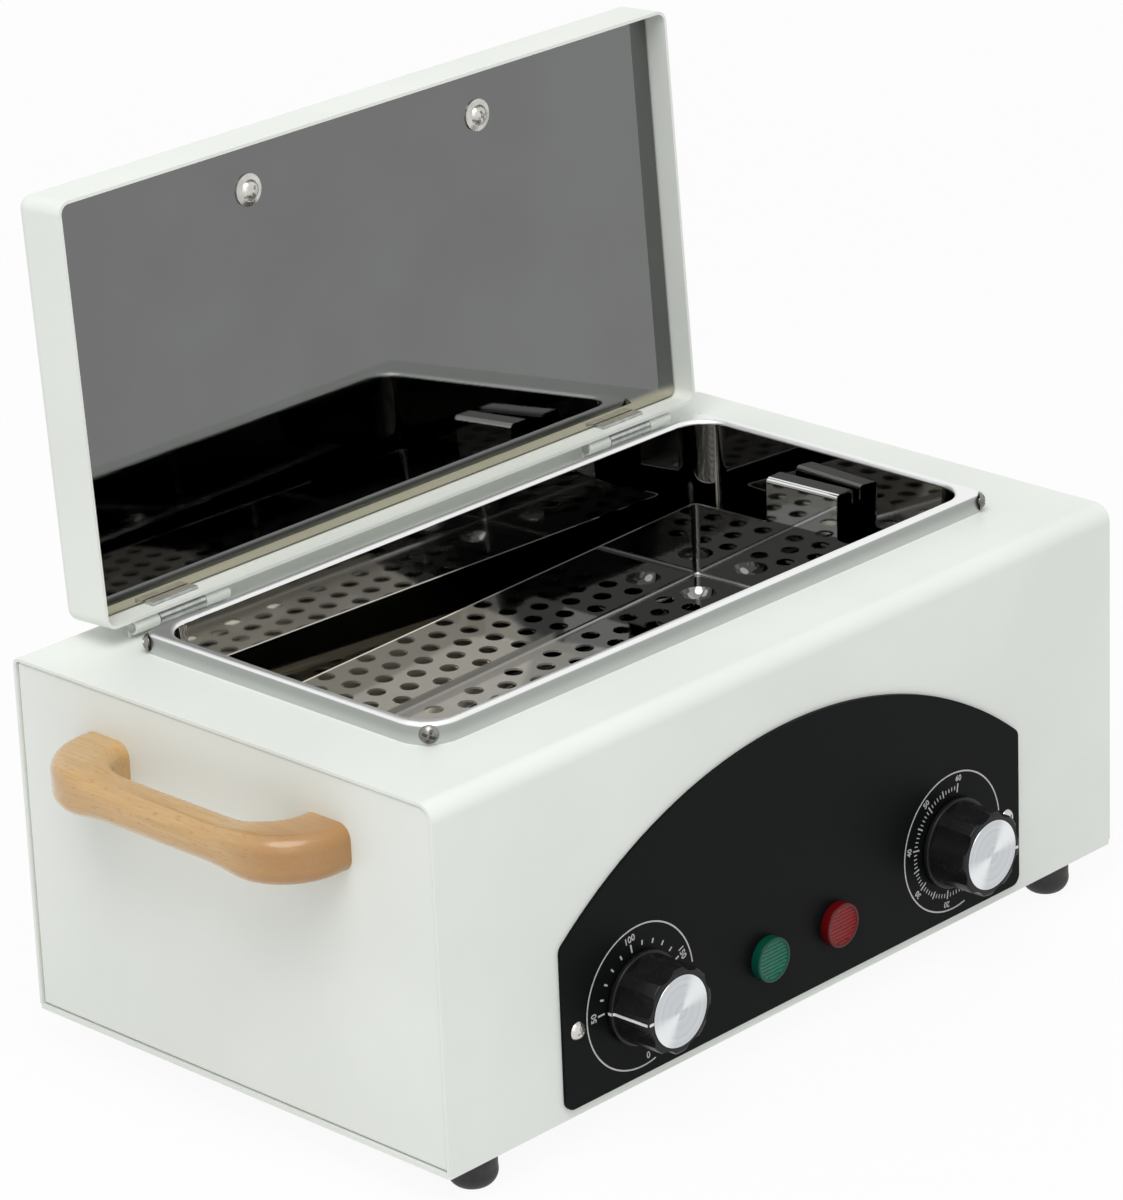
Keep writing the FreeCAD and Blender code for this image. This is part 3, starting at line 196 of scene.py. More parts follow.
def makeMirrorSteel(name, bendTop, floor, rimmed):  # painted light and shade: bright on the left and dark on the right, lit and shaded copies of one steel, with a painted lit pool on the floor and a painted highlight along its top bend
    sizes = mirrorSteel
    steel = Finish(name, {"Metallic": 1.0})
    spot = steel.place()
    x, y, z = steel.parts(spot)
    wander = (steel.noise(spot, 60, 2) - 0.5) * 0.004
    # painted light and shade: this mask turns the steel from the lit colour on the left to the shaded colour on the
    # right
    shade = (x + wander + (z - casingTop) * sizes["shadeLean"]).above(sizes["shadeFrom"] - sizes["shadeEdge"],
                                                                      sizes["shadeFrom"] + sizes["shadeEdge"])
    colour = steel.mix(shade, sizes["bright"], sizes["paintedShadeColour"])
    # painted light: the floor left of patchTo is a lit pool, given a flat tint and less metal
    lightPool = 1 - (x + wander + y * sizes["patchLean"]).above(sizes["patchTo"] - 0.002, sizes["patchTo"] + 0.002)
    lightPool = lightPool * (1 - z.above(floor, floor + 0.001))
    colour = steel.mix(lightPool, colour, sizes["floorLightPool"])
    metal = 1 - lightPool * sizes["lightPoolHaze"]
    # painted highlight: a pale band along the top bend
    bend = z.above(bendTop - sizes["bendHeight"] * 1.5, bendTop - sizes["bendHeight"])
    colour = steel.mix(bend, colour, sizes["bend"])
    low, high = sizes["roughness"]
    fine = steel.noise(steel.place(stretch=sizes["scratch"]), 1.0, 2)
    roughness = low + fine * (high - low)
    steel.feed("Metallic", metal)
    if rimmed:
        aside = (abs(x) - tankRim["skirtX"]).larger(abs(y) - tankRim["skirtY"])
        aside = aside.larger(abs(x) + abs(y) - tankRim["corner"])
        low, high = tankRim["height"]
        # painted reflection: the rim's skirt is painted mid-grey and paler towards its foot, where it reflects the
        # casing top
        skirt = steel.mix(z.above(bendTop - low, bendTop - high), tankRim["foot"], tankRim["colour"])
        outer = aside.above(0.0, 0.0003) * (1.0 - bend)
        colour = steel.mix(outer, colour, skirt)
        roughness = roughness * (1.0 - outer) + bend * tankRim["bendRoughness"] + outer * (tankRim["roughness"] + fine * 0.1)
    steel.feed("Base Color", colour)
    steel.feed("Roughness", roughness)
    steel.bump(steel.noise(spot, sizes["waveScale"], 1), sizes["waveDepth"], 0.3)
    return steel.material


# painted reflection: the liner colours stand for the dim room it reflects, the edge colour for the casing top it
# reflects beside the hinges
linerSteel = {"colour": (0.178, 0.182, 0.18), "dull": (0.165, 0.168, 0.165), "edge": (0.46, 0.43, 0.34),
              "casingReflectionBand": (0.0025, 0.0055), "roughness": 0.01}


def makeLinerSteel():  # painted shade and reflection: a mirror darkened to stand for the dim room it reflects, with a paler strip painted beside the hinges where it reflects the casing top
    low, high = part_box("lid_liner")
    steel = Finish("linerSteel", {"Metallic": 1.0})
    x, y, z = steel.parts(steel.place(centre=(high.x, 0, low.z)))
    wander = (steel.noise(steel.place(stretch=(9, 9, 60)), 1.0, 2) - 0.5) * 0.002
    # painted reflection: a paler band beside the hinges
    casingReflectionBand = 1 - (z + wander).above(*linerSteel["casingReflectionBand"])
    cloud = steel.noise(steel.place(), 18, 3)
    colour = steel.mix(cloud.above(0.3, 0.7), linerSteel["colour"], linerSteel["dull"])
    steel.feed("Base Color", steel.mix(casingReflectionBand, colour, linerSteel["edge"]))
    steel.feed("Roughness", linerSteel["roughness"] + cloud * 0.02)
    steel.bump(steel.noise(steel.place(stretch=(60, 2600, 2600)), 1.0, 2), 0.000004, 0.2)
    return steel.material


platedSteel = {"bright": (0.66, 0.65, 0.62), "dull": (0.5, 0.49, 0.46), "roughness": (0.16, 0.3)}
darkSteel = {"bright": (0.30, 0.29, 0.27), "dull": (0.17, 0.165, 0.155), "roughness": (0.2, 0.35)}
rolledSteel = {"bright": (0.6, 0.61, 0.61), "dull": (0.45, 0.46, 0.46), "roughness": (0.22, 0.36)}


def makeWornSteel(name, sizes, stretch):
    steel = Finish(name, {"Metallic": 1.0})
    spot = steel.place(stretch=stretch)
    cloud = steel.noise(steel.place(), 260, 3)
    steel.feed("Base Color", steel.mix(cloud.above(0.3, 0.7), sizes["bright"], sizes["dull"]))
    low, high = sizes["roughness"]
    streak = steel.noise(spot, 1.0, 3)
    steel.feed("Roughness", low + streak * (high - low))
    steel.bump(streak, 0.00001, 0.4)
    return steel.material


panelBlack = {"colour": (0.004, 0.0046, 0.0046), "pale": (0.0055, 0.006, 0.006), "roughness": (0.36, 0.46),
              "grainScale": 1500, "grainDepth": 0.00002}


def makePanelBlack():
    paint = Finish("panelBlack", {"Specular IOR Level": 0.05})
    spot = paint.place()
    paint.feed("Base Color", paint.mix(paint.noise(spot, 25, 3), panelBlack["colour"], panelBlack["pale"]))
    low, high = panelBlack["roughness"]
    paint.feed("Roughness", low + paint.noise(spot, 120, 3) * (high - low))
    paint.bump(paint.noise(spot, panelBlack["grainScale"], 1), panelBlack["grainDepth"], 0.5)
    return paint.material


knobBlack = {"colour": (0.007, 0.007, 0.0072), "pale": (0.012, 0.012, 0.012), "roughness": (0.2, 0.32)}


def makeKnobBlack():
    plastic = Finish("knobBlack", {"IOR": 1.5, "Specular IOR Level": 0.2})
    spot = plastic.place()
    plastic.feed("Base Color", plastic.mix(plastic.noise(spot, 180, 3), knobBlack["colour"], knobBlack["pale"]))
    low, high = knobBlack["roughness"]
    plastic.feed("Roughness", low + plastic.noise(spot, 400, 2) * (high - low))
    plastic.bump(plastic.noise(spot, 900, 1), 0.00001, 0.4)
    return plastic.material


# the pale colour and the angle below set a painted bow-tie highlight
spunDisc = {"colour": (0.60, 0.62, 0.635), "dull": (0.52, 0.54, 0.555), "bowTieHighlight": (0.80, 0.82, 0.83),
            "highlightTurn": 0.6, "roughness": 0.24, "pitch": 0.00018, "depth": 0.000012}


def makeSpunDisc(name, centre):  # rings turned into the metal about its own centre, with a bow-tie highlight painted across it
    metal = Finish(name, {"Metallic": 1.0, "Roughness": spunDisc["roughness"]})
    spot = metal.place(centre=centre)
    x, y, z = metal.parts(spot)
    radius = (x * x + z * z) ** 0.5
    rings = metal.node("CombineXYZ", {}, {0: radius})
    groove = metal.noise(rings, 1 / spunDisc["pitch"], 1, 0.8)
    band = metal.noise(rings, 700, 2)
    colour = metal.mix(band.above(0.3, 0.7), spunDisc["colour"], spunDisc["dull"])
    # painted highlight: bow-tie sectors across the disc turn paler
    across = (x * math.cos(spunDisc["highlightTurn"]) + z * math.sin(spunDisc["highlightTurn"])) / (radius + 0.0001)
    bowTieHighlight = (across * across).above(0.55, 1.0)
    metal.feed("Base Color", metal.mix(bowTieHighlight, colour, spunDisc["bowTieHighlight"]))
    metal.bump(groove, spunDisc["depth"], 1.0)
    return metal.material


lensRib = {"pitch": 0.00125, "rim": 0.0013, "depth": 0.00022}


def makeLens(name, part, colour, deep):  # painted light and shade: the ribs moulded under the face are painted as light and dark bands in the colour, as well as bumped
    low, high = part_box(part)
    lens = Finish(name, {"IOR": 1.49, "Coat Weight": 0.05, "Coat Roughness": 0.1, "Specular IOR Level": 0.2})
    x, y, z = lens.parts(lens.place(centre=(low + high) / 2))
    radius = (x * x + z * z) ** 0.5
    rim = radius.above((high.x - low.x) / 2 - lensRib["rim"], (high.x - low.x) / 2 - lensRib["rim"] + 0.0002)
    rib = lens.maths("SINE", z * (math.tau / lensRib["pitch"]))
    cell = lens.noise(lens.place(stretch=(500, 500, 1500)), 1.0, 2)
    # painted light and shade: rib bands and cell speckle between the deep and the full colour; the rim ring keeps the
    # deep colour
    shade = (rib * 0.35 + cell + 0.1).above(0.3, 0.8) * (1.0 - rim)
    lens.feed("Base Color", lens.mix(shade, deep, colour))
    lens.feed("Roughness", 0.16 + lens.noise(lens.place(), 600, 2) * 0.12)
    lens.bump(rib * (1.0 - rim), lensRib["depth"], 0.6)
    return lens.material


lensGreen = {"colour": (0.003, 0.165, 0.095), "deep": (0.0015, 0.06, 0.036)}
lensRed = {"colour": (0.28, 0.005, 0.005), "deep": (0.10, 0.002, 0.003)}
rubber = {"colour": (0.011, 0.011, 0.011), "pale": (0.022, 0.022, 0.021)}


def makeRubber():
    made = Finish("rubber", {})
    spot = made.place()
    made.feed("Base Color", made.mix(made.noise(spot, 220, 4).above(0.4, 0.75), rubber["colour"], rubber["pale"]))
    made.feed("Roughness", 0.42 + made.noise(spot, 500, 3) * 0.25)
    made.bump(made.noise(spot, 1300, 2), 0.00004, 0.5)
    return made.material


beech = {"light": (0.57, 0.36, 0.145), "middle": (0.47, 0.275, 0.095), "end": (0.34, 0.155, 0.035),
         "fleck": (0.30, 0.135, 0.045), "fibre": (1400, 55, 1400), "figure": (95, 14, 95),
         "fleckScale": (1100, 260, 1100), "endFrom": 0.026, "endTo": 0.054}


def makeBeech():
    low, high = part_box("handle_right")
    wood = Finish("beech", {"Coat Weight": 1.0, "Coat Roughness": 0.2, "Coat IOR": 1.5})
    centre = (0, (low.y + high.y) / 2, 0)
    figure = wood.noise(wood.place(centre, beech["figure"]), 1.0, 4, 0.6)
    fibre = wood.noise(wood.place(centre, beech["fibre"]), 1.0, 3, 0.6)
    fleck = wood.noise(wood.place(centre, beech["fleckScale"]), 1.0, 2).above(0.60, 0.72)
    x, y, z = wood.parts(wood.place(centre))
    # darker towards the front end, partly end grain and partly painted shade
    end = (y * -1 + (figure - 0.5) * 0.012).above(beech["endFrom"], beech["endTo"])
    colour = wood.mix((figure * 0.6 + fibre * 0.5).above(0.38, 0.72), beech["light"], beech["middle"])
    colour = wood.mix(end * 0.8, colour, beech["end"])
    colour = wood.mix(fleck * 0.45, colour, beech["fleck"])
    wood.feed("Base Color", colour)
    wood.feed("Roughness", 0.42 + fibre * 0.2)
    wood.bump(fibre * 0.6 + fleck * -0.4, 0.00003, 0.4)
    return wood.material


def makePlainFinish(name, colour, pale, roughness, scale):
    made = Finish(name, {})
    spot = made.place()
    made.feed("Base Color", made.mix(made.noise(spot, scale, 3).above(0.35, 0.7), colour, pale))
    made.feed("Roughness", roughness + made.noise(spot, scale * 2, 2) * 0.12)
    made.bump(made.noise(spot, scale * 5, 1), 0.00002, 0.4)
    return made.material


finishes = {
    "casing_paint": makeCasingPaint(),
    "mirror_steel": makeMirrorSteel("basketSteel", basketTop, basketFloor, False),
    "satin_steel": makeWornSteel("rolledSteel", rolledSteel, (60, 1800, 1800)),
    "zinc_steel": makeWornSteel("platedSteel", platedSteel, (700, 700, 700)),
    "panel_black": makePanelBlack(),
    "knob_black": makeKnobBlack(),
    "knob_cap": makeSpunDisc("spunDiscTemperature", temperatureCentre),
    "lens_green": makeLens("lensGreen", "lamp_lens_green", lensGreen["colour"], lensGreen["deep"]),
    "lens_red": makeLens("lensRed", "lamp_lens_red", lensRed["colour"], lensRed["deep"]),
    "rubber": makeRubber(),
    "beech": makeBeech(),
    "black_housing": makePlainFinish("blackHousing", (0.02, 0.02, 0.021), (0.03, 0.03, 0.03), 0.42, 300),
    "ceramic": makePlainFinish("ceramic", (0.72, 0.69, 0.62), (0.66, 0.62, 0.54), 0.5, 240),
}
pointerPaint = makePlainFinish("pointerPaint", (0.78, 0.79, 0.77), (0.66, 0.67, 0.66), 0.4, 900)
printInk = makePlainFinish("printInk", (0.53, 0.54, 0.53), (0.42, 0.43, 0.42), 0.4, 900)

for part in frame["record"]["subparts"]:
    mesh = nodes[part["node"]].data
    mesh.materials.clear()
    mesh.materials.append(finishes[part["material_slot"]])
nodes["timer_knob_cap"].data.materials[0] = makeSpunDisc("spunDiscTimer", timerCentre)
nodes["tank"].data.materials[0] = makeMirrorSteel("tankSteel", rimTop, 0.0, True)
nodes["lid_liner"].data.materials[0] = makeLinerSteel()
print("finishes made:", len(bpy.data.materials))


# Modelling helpers

def deselectAll():
    bpy.ops.object.select_all(action="DESELECT")


def chooseFaces(test):
    bpy.ops.mesh.select_mode(type="FACE")
    bpy.ops.mesh.select_all(action="DESELECT")
    mesh = bmesh.from_edit_mesh(bpy.context.edit_object.data)
    for face in mesh.faces:
        face.select_set(test(face.calc_center_median(), face.normal))
    bmesh.update_edit_mesh(bpy.context.edit_object.data)


def applyModifier(piece, kind, **settings):
    modifier = piece.modifiers.new(kind.title(), kind)
    for name, value in settings.items():
        setattr(modifier, name, value)
    bpy.context.view_layer.objects.active = piece
    bpy.ops.object.modifier_apply(modifier=modifier.name)


def cutWith(piece, cutter):
    applyModifier(piece, "BOOLEAN", operation="DIFFERENCE", solver="EXACT", object=cutter)
    bpy.data.objects.remove(cutter)


def settle(piece):  # its place and turn go into the mesh
    deselectAll()
    piece.select_set(True)
    bpy.context.view_layer.objects.active = piece
    bpy.ops.object.transform_apply(location=True, rotation=True, scale=True)
    return piece


def addBlock(centre, size, turn=0.0, tilt=0.0):  # a bar whose length is turned about z, or tilted about y
    deselectAll()
    bpy.ops.mesh.primitive_cube_add(size=1.0, location=centre, rotation=(0, tilt, turn))
    block = bpy.context.object
    block.scale = size
    return settle(block)


def joinPieces(pieces, name):
    deselectAll()
    for piece in pieces:
        piece.select_set(True)
    bpy.context.view_layer.objects.active = pieces[0]
    if len(pieces) > 1:
        bpy.ops.object.join()
    pieces[0].name = name
    pieces[0].data.name = name
    return pieces[0]


def faceFront(piece, centre, turn=0.0):  # lays a piece drawn on the z plane against a face that looks forward
    piece.rotation_mode = "QUATERNION"
    piece.rotation_quaternion = Quaternion((1, 0, 0), math.pi / 2) @ Quaternion((0, 0, 1), turn)
    piece.location = centre
    return settle(piece)


def copyNode(name):  # a merged copy of a CAD node, free to be changed
    piece = nodes[name].copy()
    piece.data = nodes[name].data.copy()
    bpy.context.scene.collection.objects.link(piece)
    deselectAll()
    piece.select_set(True)
    bpy.context.view_layer.objects.active = piece
    bpy.ops.mesh.customdata_custom_splitnormals_clear()
    bpy.ops.object.mode_set(mode="EDIT")
    bpy.ops.mesh.select_all(action="SELECT")
    bpy.ops.mesh.remove_doubles(threshold=0.000002)
    bpy.ops.mesh.normals_make_consistent(inside=False)
    bpy.ops.object.mode_set(mode="OBJECT")
    return piece


def finishPiece(piece, material, body, replaced=()):
    piece.data.materials.clear()
    piece.data.materials.append(material)
    deselectAll()
    piece.select_set(True)
    bpy.context.view_layer.objects.active = piece
    bpy.ops.object.shade_smooth_by_angle(angle=math.radians(35))
    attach(piece, body)
    if replaced:
        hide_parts(*replaced)
    return piece


# Printing on the panel; angles are counter-clockwise from the right, lengths in millimetres

dialPrint = {"lift": 0.05, "thickness": 0.04, "ringRadius": 23.1, "ringWidth": 0.5, "ringFrom": 7.0,
             "ringTo": 284.6, "digitWeight": 0.05}
temperatureScale = {"first": 50, "last": 150, "firstAngle": 180.0, "perDegree": -1.58, "numberRadius": 20.1,
                    "short": (16.4, 17.9), "long": (15.6, 18.4), "width": 0.6,
                    "zeroAngle": 277.0, "zeroRadius": 20.4, "digitSize": 3.1}
timerScale = {"zeroAngle": 351.8, "perMinute": -4.515, "numberRadius": 20.9, "minute": (17.2, 18.6),
              "five": (16.7, 19.2), "ten": (16.2, 19.2), "width": 0.5, "minuteWidth": 0.35, "digitSize": 2.7}


def addRing():
    deselectAll()
    bpy.ops.mesh.primitive_torus_add(major_segments=360, minor_segments=4,
                                     major_radius=dialPrint["ringRadius"] * mm,
                                     minor_radius=dialPrint["ringWidth"] / 2 * mm)
    ring = bpy.context.object
    ring.scale = (1, 1, dialPrint["thickness"] / dialPrint["ringWidth"])
    settle(ring)
    bpy.ops.object.mode_set(mode="EDIT")
    chooseFaces(lambda spot, normal: math.degrees(math.atan2(spot.y, spot.x)) % 360 > dialPrint["ringTo"]
                or math.degrees(math.atan2(spot.y, spot.x)) % 360 < dialPrint["ringFrom"])
    bpy.ops.mesh.delete(type="FACE")
    bpy.ops.object.mode_set(mode="OBJECT")
    return ring


def addTick(angle, span, width):
    turn = math.radians(angle)
    middle = (span[0] + span[1]) / 2 * mm
    size = ((span[1] - span[0]) * mm, width * mm, dialPrint["thickness"] * mm)
    return addBlock((middle * math.cos(turn), middle * math.sin(turn), 0), size, turn)


def addNumber(value, angle, radius, size):
    deselectAll()
    bpy.ops.object.text_add()
    number = bpy.context.object
    number.data.body = str(value)
    number.data.size = size * mm
    number.data.offset = dialPrint["digitWeight"] * mm
    number.data.extrude = dialPrint["thickness"] / 2 * mm
    number.data.align_x = "CENTER"
    number.data.align_y = "CENTER"
    number.data.resolution_u = 4
    bpy.ops.object.convert(target="MESH")
    number = bpy.context.object
    turn = math.radians(angle)
    number.location = (radius * mm * math.cos(turn), radius * mm * math.sin(turn), 0)
    number.rotation_euler = (0, 0, turn - math.pi / 2)
    return settle(number)


def placePrint(pieces, centre, name):
    drawn = joinPieces(pieces, name)
    faceFront(drawn, (centre.x, panelFace - dialPrint["lift"] * mm, centre.z))
    finishPiece(drawn, printInk, "casing")


def makeTemperaturePrint():
    sizes = temperatureScale
    pieces = [addRing(), addNumber(0, sizes["zeroAngle"], sizes["zeroRadius"], sizes["digitSize"])]
    for degrees in range(sizes["first"], sizes["last"] + 1, 10):
        angle = sizes["firstAngle"] + (degrees - sizes["first"]) * sizes["perDegree"]
        numbered = degrees % 50 == 0
        pieces.append(addTick(angle, sizes["long"] if numbered else sizes["short"], sizes["width"]))
        if numbered:
            pieces.append(addNumber(degrees, angle, sizes["numberRadius"], sizes["digitSize"]))
    placePrint(pieces, temperatureCentre, "temperaturePrint")


def makeTimerPrint():
    sizes = timerScale
    pieces = [addRing()]
    for minute in range(61):
        angle = sizes["zeroAngle"] + minute * sizes["perMinute"]
        if minute % 10 == 0:
            pieces.append(addTick(angle, sizes["ten"], sizes["width"]))
            pieces.append(addNumber(minute, angle, sizes["numberRadius"], sizes["digitSize"]))
        elif minute % 5 == 0:
            pieces.append(addTick(angle, sizes["five"], sizes["width"]))
        else:
            pieces.append(addTick(angle, sizes["minute"], sizes["minuteWidth"]))
    placePrint(pieces, timerCentre, "timerPrint")


makeTemperaturePrint()
makeTimerPrint()
print("dials printed")


# Lobed knobs on a skirt, their turned caps, and the white pointers painted down one lobe

knobShape = {"verts": 128, "height": 15.5, "skirtRadius": 14.9, "skirtHeight": 1.9, "skirtBevel": 0.5,
             "radius": 14.1, "topRadius": 13.7, "topBevel": 0.6, "flutes": 8, "fluteRadius": 6.5,
             "fluteDepth": 1.6, "pocketRadius": 9.5, "pocketDepth": 4.6}
capShape = {"radius": 11.4, "recessRadius": 11.5, "thickness": 0.9, "proud": 0.4, "bevel": 0.25}
pointer = {"width": 0.9, "thickness": 0.08,
           "path": ((11.5, 15.5), (13.1, 15.5), (13.7, 14.9), (14.07, 1.95), (14.5, 1.9), (14.9, 1.4), (14.9, 0.3))}


def addRound(centre, depth, radius, topRadius, bevel=0.0):
    deselectAll()
    bpy.ops.mesh.primitive_cone_add(vertices=knobShape["verts"], radius1=radius * mm, radius2=topRadius * mm,
                                    depth=depth * mm, location=[value * mm for value in centre])
    piece = settle(bpy.context.object)
    if bevel:
        applyModifier(piece, "BEVEL", width=bevel * mm, segments=3, limit_method="ANGLE",
                      angle_limit=math.radians(60))
    return piece


def addKnob():
    sizes = knobShape
    height, flute = sizes["height"], sizes["fluteRadius"]
    knob = addRound((0, 0, height / 2 + 0.15), height - 0.3, sizes["radius"], sizes["topRadius"], sizes["topBevel"])
    for index in range(sizes["flutes"]):
        turn = math.tau * (index + 0.5) / sizes["flutes"]
        reach = sizes["radius"] + flute - sizes["fluteDepth"]
        spot = (reach * math.cos(turn), reach * math.sin(turn), height / 2 + sizes["skirtHeight"])
        cutWith(knob, addRound(spot, height, flute, flute))
    skirt = addRound((0, 0, sizes["skirtHeight"] / 2), sizes["skirtHeight"], sizes["skirtRadius"],
                     sizes["skirtRadius"], sizes["skirtBevel"])
    applyModifier(knob, "BOOLEAN", operation="UNION", solver="EXACT", object=skirt)
    bpy.data.objects.remove(skirt)
    cutWith(knob, addRound((0, 0, 0), sizes["pocketDepth"] * 2, sizes["pocketRadius"], sizes["pocketRadius"]))
    recess = capShape["recessRadius"]
    cutWith(knob, addRound((0, 0, height), (capShape["thickness"] - capShape["proud"]) * 2, recess, recess))
    return knob


def addCap():
    middle = knobShape["height"] + capShape["proud"] - capShape["thickness"] / 2
    return addRound((0, 0, middle), capShape["thickness"], capShape["radius"], capShape["radius"],
                    capShape["bevel"])


def addPointer():
    bars = []
    path = [(radius * mm, rise * mm) for radius, rise in pointer["path"]]
    for (r0, z0), (r1, z1) in zip(path, path[1:]):
        length = math.hypot(r1 - r0, z1 - z0)
        out = pointer["thickness"] / 4 * mm
        spot = ((r0 + r1) / 2 + (z0 - z1) / length * out, 0, (z0 + z1) / 2 + (r1 - r0) / length * out)
        size = (length + pointer["thickness"] * mm, pointer["width"] * mm, pointer["thickness"] * mm)
        bars.append(addBlock(spot, size, 0.0, math.atan2(z0 - z1, r1 - r0)))
    return joinPieces(bars, "pointer")


def makeDial(kind, degrees, body):
    low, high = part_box(kind + "_knob")
    centre = ((low.x + high.x) / 2, high.y, (low.z + high.z) / 2)
    capFinish = nodes[kind + "_knob_cap"].data.materials[0]
    for piece, name, finish, slot, replaced in (
            (addKnob(), "Lobes", finishes["knob_black"], "knob_black", [kind + "_knob"]),
            (addCap(), "Disc", capFinish, "knob_cap", [kind + "_knob_cap"]),
            (addPointer(), "Pointer", pointerPaint, "casing_paint", ())):
        piece.name = kind + name
        faceFront(piece, centre, math.radians(degrees))
        finishPiece(piece, finish, body, replaced)


makeDial("temperature", 180.0, "temperature_dial")
makeDial("timer", -8.0, "timer_dial")
print("knobs, caps and pointers made")


# Cross recesses in the screws that show

crossRecess = {"panel_screws": (3.0, 0.75, 0.9), "tank_screws": (4.2, 1.0, 1.6), "liner_screws": (3.6, 0.9, 1.0)}


def screwSpots(piece, direction):  # the crown and the outward direction of each loose screw
    mesh = bmesh.new()
    mesh.from_mesh(piece.data)
    left = set(mesh.verts)
    spots = []
    while left:
        grown = [left.pop()]
        verts = []
        while grown:
            vert = grown.pop()
            verts.append(vert.co.copy())
            for edge in vert.link_edges:
                other = edge.other_vert(vert)
                if other in left:
                    left.remove(other)
                    grown.append(other)
        middle = sum(verts, Vector()) / len(verts)
        outward = direction(middle)
        crown = max(vert.dot(outward) for vert in verts)
        spots.append((middle + outward * (crown - middle.dot(outward)), outward))
    mesh.free()
    return spots


def makeCrossedScrews(name, direction, body):
    piece = copyNode(name)
    length, width, depth = (value * mm for value in crossRecess[name])
    for index, (crown, outward) in enumerate(screwSpots(piece, direction)):
        for turn in (0.0, math.pi / 2):
            cutter = addBlock((0, 0, 0), (length, width, depth * 2), 0.35 + index * 0.8 + turn)
            cutter.rotation_mode = "QUATERNION"
            cutter.rotation_quaternion = outward.to_track_quat("Z", "Y")
            cutter.location = crown
            settle(cutter)
            cutWith(piece, cutter)
    piece.name = name + "Crossed"
    finishPiece(piece, screwFinish.get(name, finishes["zinc_steel"]), body, [name])


screwFinish = {"tank_screws": makeWornSteel("darkSteel", darkSteel, (700, 700, 700))}
lidOpen = Vector((0, -math.cos(math.radians(3.6)), math.sin(math.radians(3.6))))
makeCrossedScrews("panel_screws", lambda spot: forward, "casing")
makeCrossedScrews("liner_screws", lambda spot: lidOpen, "lid")
makeCrossedScrews("tank_screws", lambda spot: Vector((math.copysign(1, spot.x), math.copysign(1, spot.y),
                                                      0)).normalized(), "casing")
print("screw recesses cut")


# Pilot lamps: a smooth-edged lens with a raised rim ring

lampLens = {"verts": 96, "height": 3.3, "bevel": 0.9, "inset": 1.0, "sink": 0.5}


def makeLampLens(name, material):
    low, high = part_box(name)
    radius = (high.x - low.x) / 2
    depth = lampLens["height"] * mm
    deselectAll()
    bpy.ops.mesh.primitive_cylinder_add(vertices=lampLens["verts"], radius=radius, depth=depth,
                                        location=(0, 0, depth / 2))
    lens = settle(bpy.context.object)
    bpy.ops.object.mode_set(mode="EDIT")
    chooseFaces(lambda spot, normal: normal.z > 0.9)
    bpy.ops.mesh.inset(thickness=lampLens["inset"] * mm, depth=0)
    bpy.ops.mesh.inset(thickness=lampLens["sink"] * 0.6 * mm, depth=-lampLens["sink"] * mm)
    bpy.ops.object.mode_set(mode="OBJECT")
    applyModifier(lens, "BEVEL", width=lampLens["bevel"] * 0.4 * mm, segments=3, limit_method="ANGLE",
                  angle_limit=math.radians(40))
    faceFront(lens, ((low.x + high.x) / 2, panelFace, (low.z + high.z) / 2))
    lens.name = name + "Smooth"
    finishPiece(lens, material, "casing", [name])


makeLampLens("lamp_lens_green", finishes["lens_green"])
makeLampLens("lamp_lens_red", finishes["lens_red"])
print("lamp lenses made")


# Camera, floor and light

photoView = {"azimuth": -45.35, "elevation": 21.57, "roll": -2.32, "place": (-1.1196, -1.0998, 0.7437),
             "lens": 162.45, "sensor": 36.0}


def setCamera():
    azimuth = math.radians(photoView["azimuth"])
    elevation = math.radians(photoView["elevation"])
    back = Vector((math.sin(azimuth) * math.cos(elevation), -math.cos(azimuth) * math.cos(elevation),
                   math.sin(elevation)))
    lens = bpy.data.cameras.new("photoCamera")
    lens.lens = photoView["lens"]
    lens.sensor_width = photoView["sensor"]
    camera = bpy.data.objects.new("photoCamera", lens)
    bpy.context.scene.collection.objects.link(camera)
    camera.rotation_mode = "QUATERNION"
    camera.location = photoView["place"]
    level = (-back).to_track_quat("-Z", "Y")
    camera.rotation_quaternion = level @ Quaternion((0, 0, 1), math.radians(photoView["roll"]))
    bpy.context.scene.camera = camera


studio = {"floorRadius": 6.0, "floorColour": (0.80, 0.80, 0.80), "lift": 0.93, "fadeFrom": 0.5, "fadeTo": 2.6,
          "sky": 0.62, "keyPower": 24.0, "keySize": 1.6, "keyPlace": (-0.8, -0.6, 1.9), "fillPower": 3.0,
          "fillSize": 1.4, "fillPlace": (-1.6, -1.4, 0.9)}


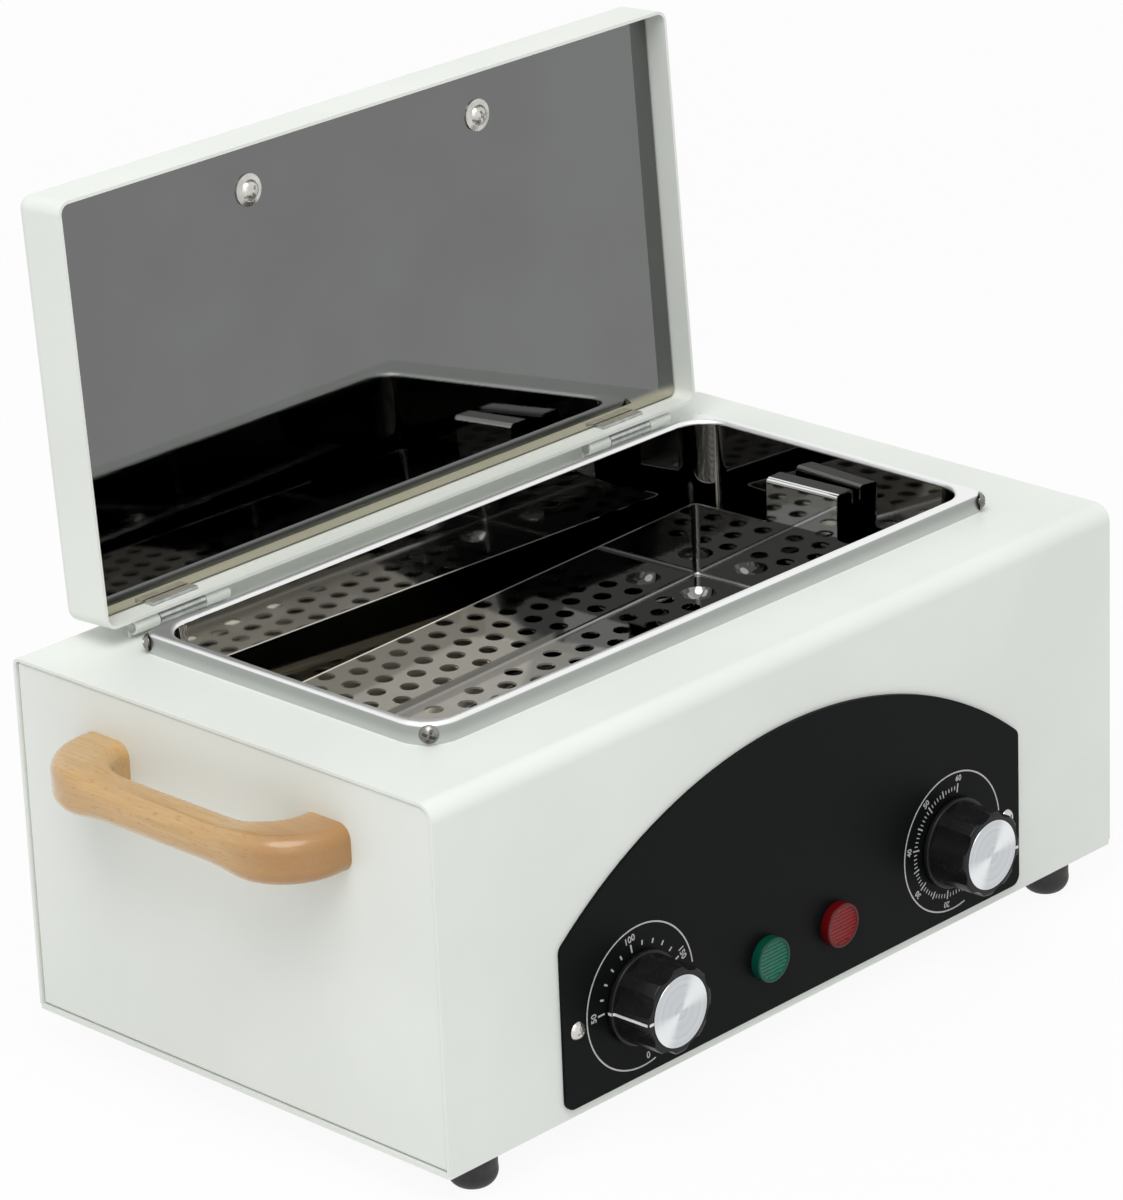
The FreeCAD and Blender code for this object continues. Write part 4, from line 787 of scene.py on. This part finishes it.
def setFloor():
    deselectAll()
    bpy.ops.mesh.primitive_circle_add(vertices=96, radius=studio["floorRadius"], fill_type="NGON",
                                      location=(0, 0, 0))
    floor = bpy.context.object
    floor.name = "floor"
    matt = Finish("floorPaper", {"Roughness": 0.9, "Specular IOR Level": 0.0})
    matt.shader.inputs["Base Color"].default_value = (*studio["floorColour"], 1)
    x, y, z = matt.parts(matt.place())
    distance = (x * x + y * y) ** 0.5
    path = matt.node("LightPath", {}, {})
    rays = path.socket.node.outputs
    seen = (Signal(matt, rays["Is Camera Ray"]) + Signal(matt, rays["Is Glossy Ray"])
            + Signal(matt, rays["Is Transmission Ray"])).above(0.0, 1.0)
    white = matt.node("Emission", {}, {"Color": (1, 1, 1, 1), "Strength": 1.0})
    share = distance.above(studio["fadeFrom"], studio["fadeTo"]) * (1 - studio["lift"]) + studio["lift"]
    blend = matt.node("MixShader", {}, {0: seen * share, 2: white})
    matt.tree.links.new(matt.shader.outputs[0], blend.socket.node.inputs[1])
    matt.tree.links.new(blend.socket, matt.tree.nodes["Material Output"].inputs["Surface"])
    floor.data.materials.append(matt.material)


def setSky():
    world = bpy.data.worlds.new("studioSky")
    bpy.context.scene.world = world
    world.use_nodes = True
    tree = world.node_tree
    sky = tree.nodes["Background"]
    path = tree.nodes.new("ShaderNodeLightPath")
    seen = None
    for name in ("Is Camera Ray", "Is Glossy Ray", "Is Transmission Ray"):
        if seen is None:
            seen = path.outputs[name]
            continue
        total = tree.nodes.new("ShaderNodeMath")
        total.operation = "ADD"
        total.use_clamp = True
        tree.links.new(seen, total.inputs[0])
        tree.links.new(path.outputs[name], total.inputs[1])
        seen = total.outputs[0]
    strength = tree.nodes.new("ShaderNodeMix")
    strength.inputs[2].default_value = studio["sky"]
    strength.inputs[3].default_value = 1.0
    tree.links.new(seen, strength.inputs[0])
    tree.links.new(strength.outputs[0], sky.inputs["Strength"])
    sky.inputs["Color"].default_value = (1, 1, 1, 1)


def addLamp(name, power, size, place, aim):
    light = bpy.data.lights.new(name, "AREA")
    light.shape = "DISK"
    light.size = size
    light.energy = power
    lamp = bpy.data.objects.new(name, light)
    bpy.context.scene.collection.objects.link(lamp)
    lamp.location = place
    lamp.rotation_mode = "QUATERNION"
    lamp.rotation_quaternion = (Vector(aim) - Vector(place)).to_track_quat("-Z", "Y")


setCamera()
setFloor()
setSky()
addLamp("keyLamp", studio["keyPower"], studio["keySize"], studio["keyPlace"], (0, 0, 0.1))
addLamp("fillLamp", studio["fillPower"], studio["fillSize"], studio["fillPlace"], (0, 0, 0.1))
bpy.context.scene.view_settings.view_transform = "Standard"
print("camera, floor and light set")
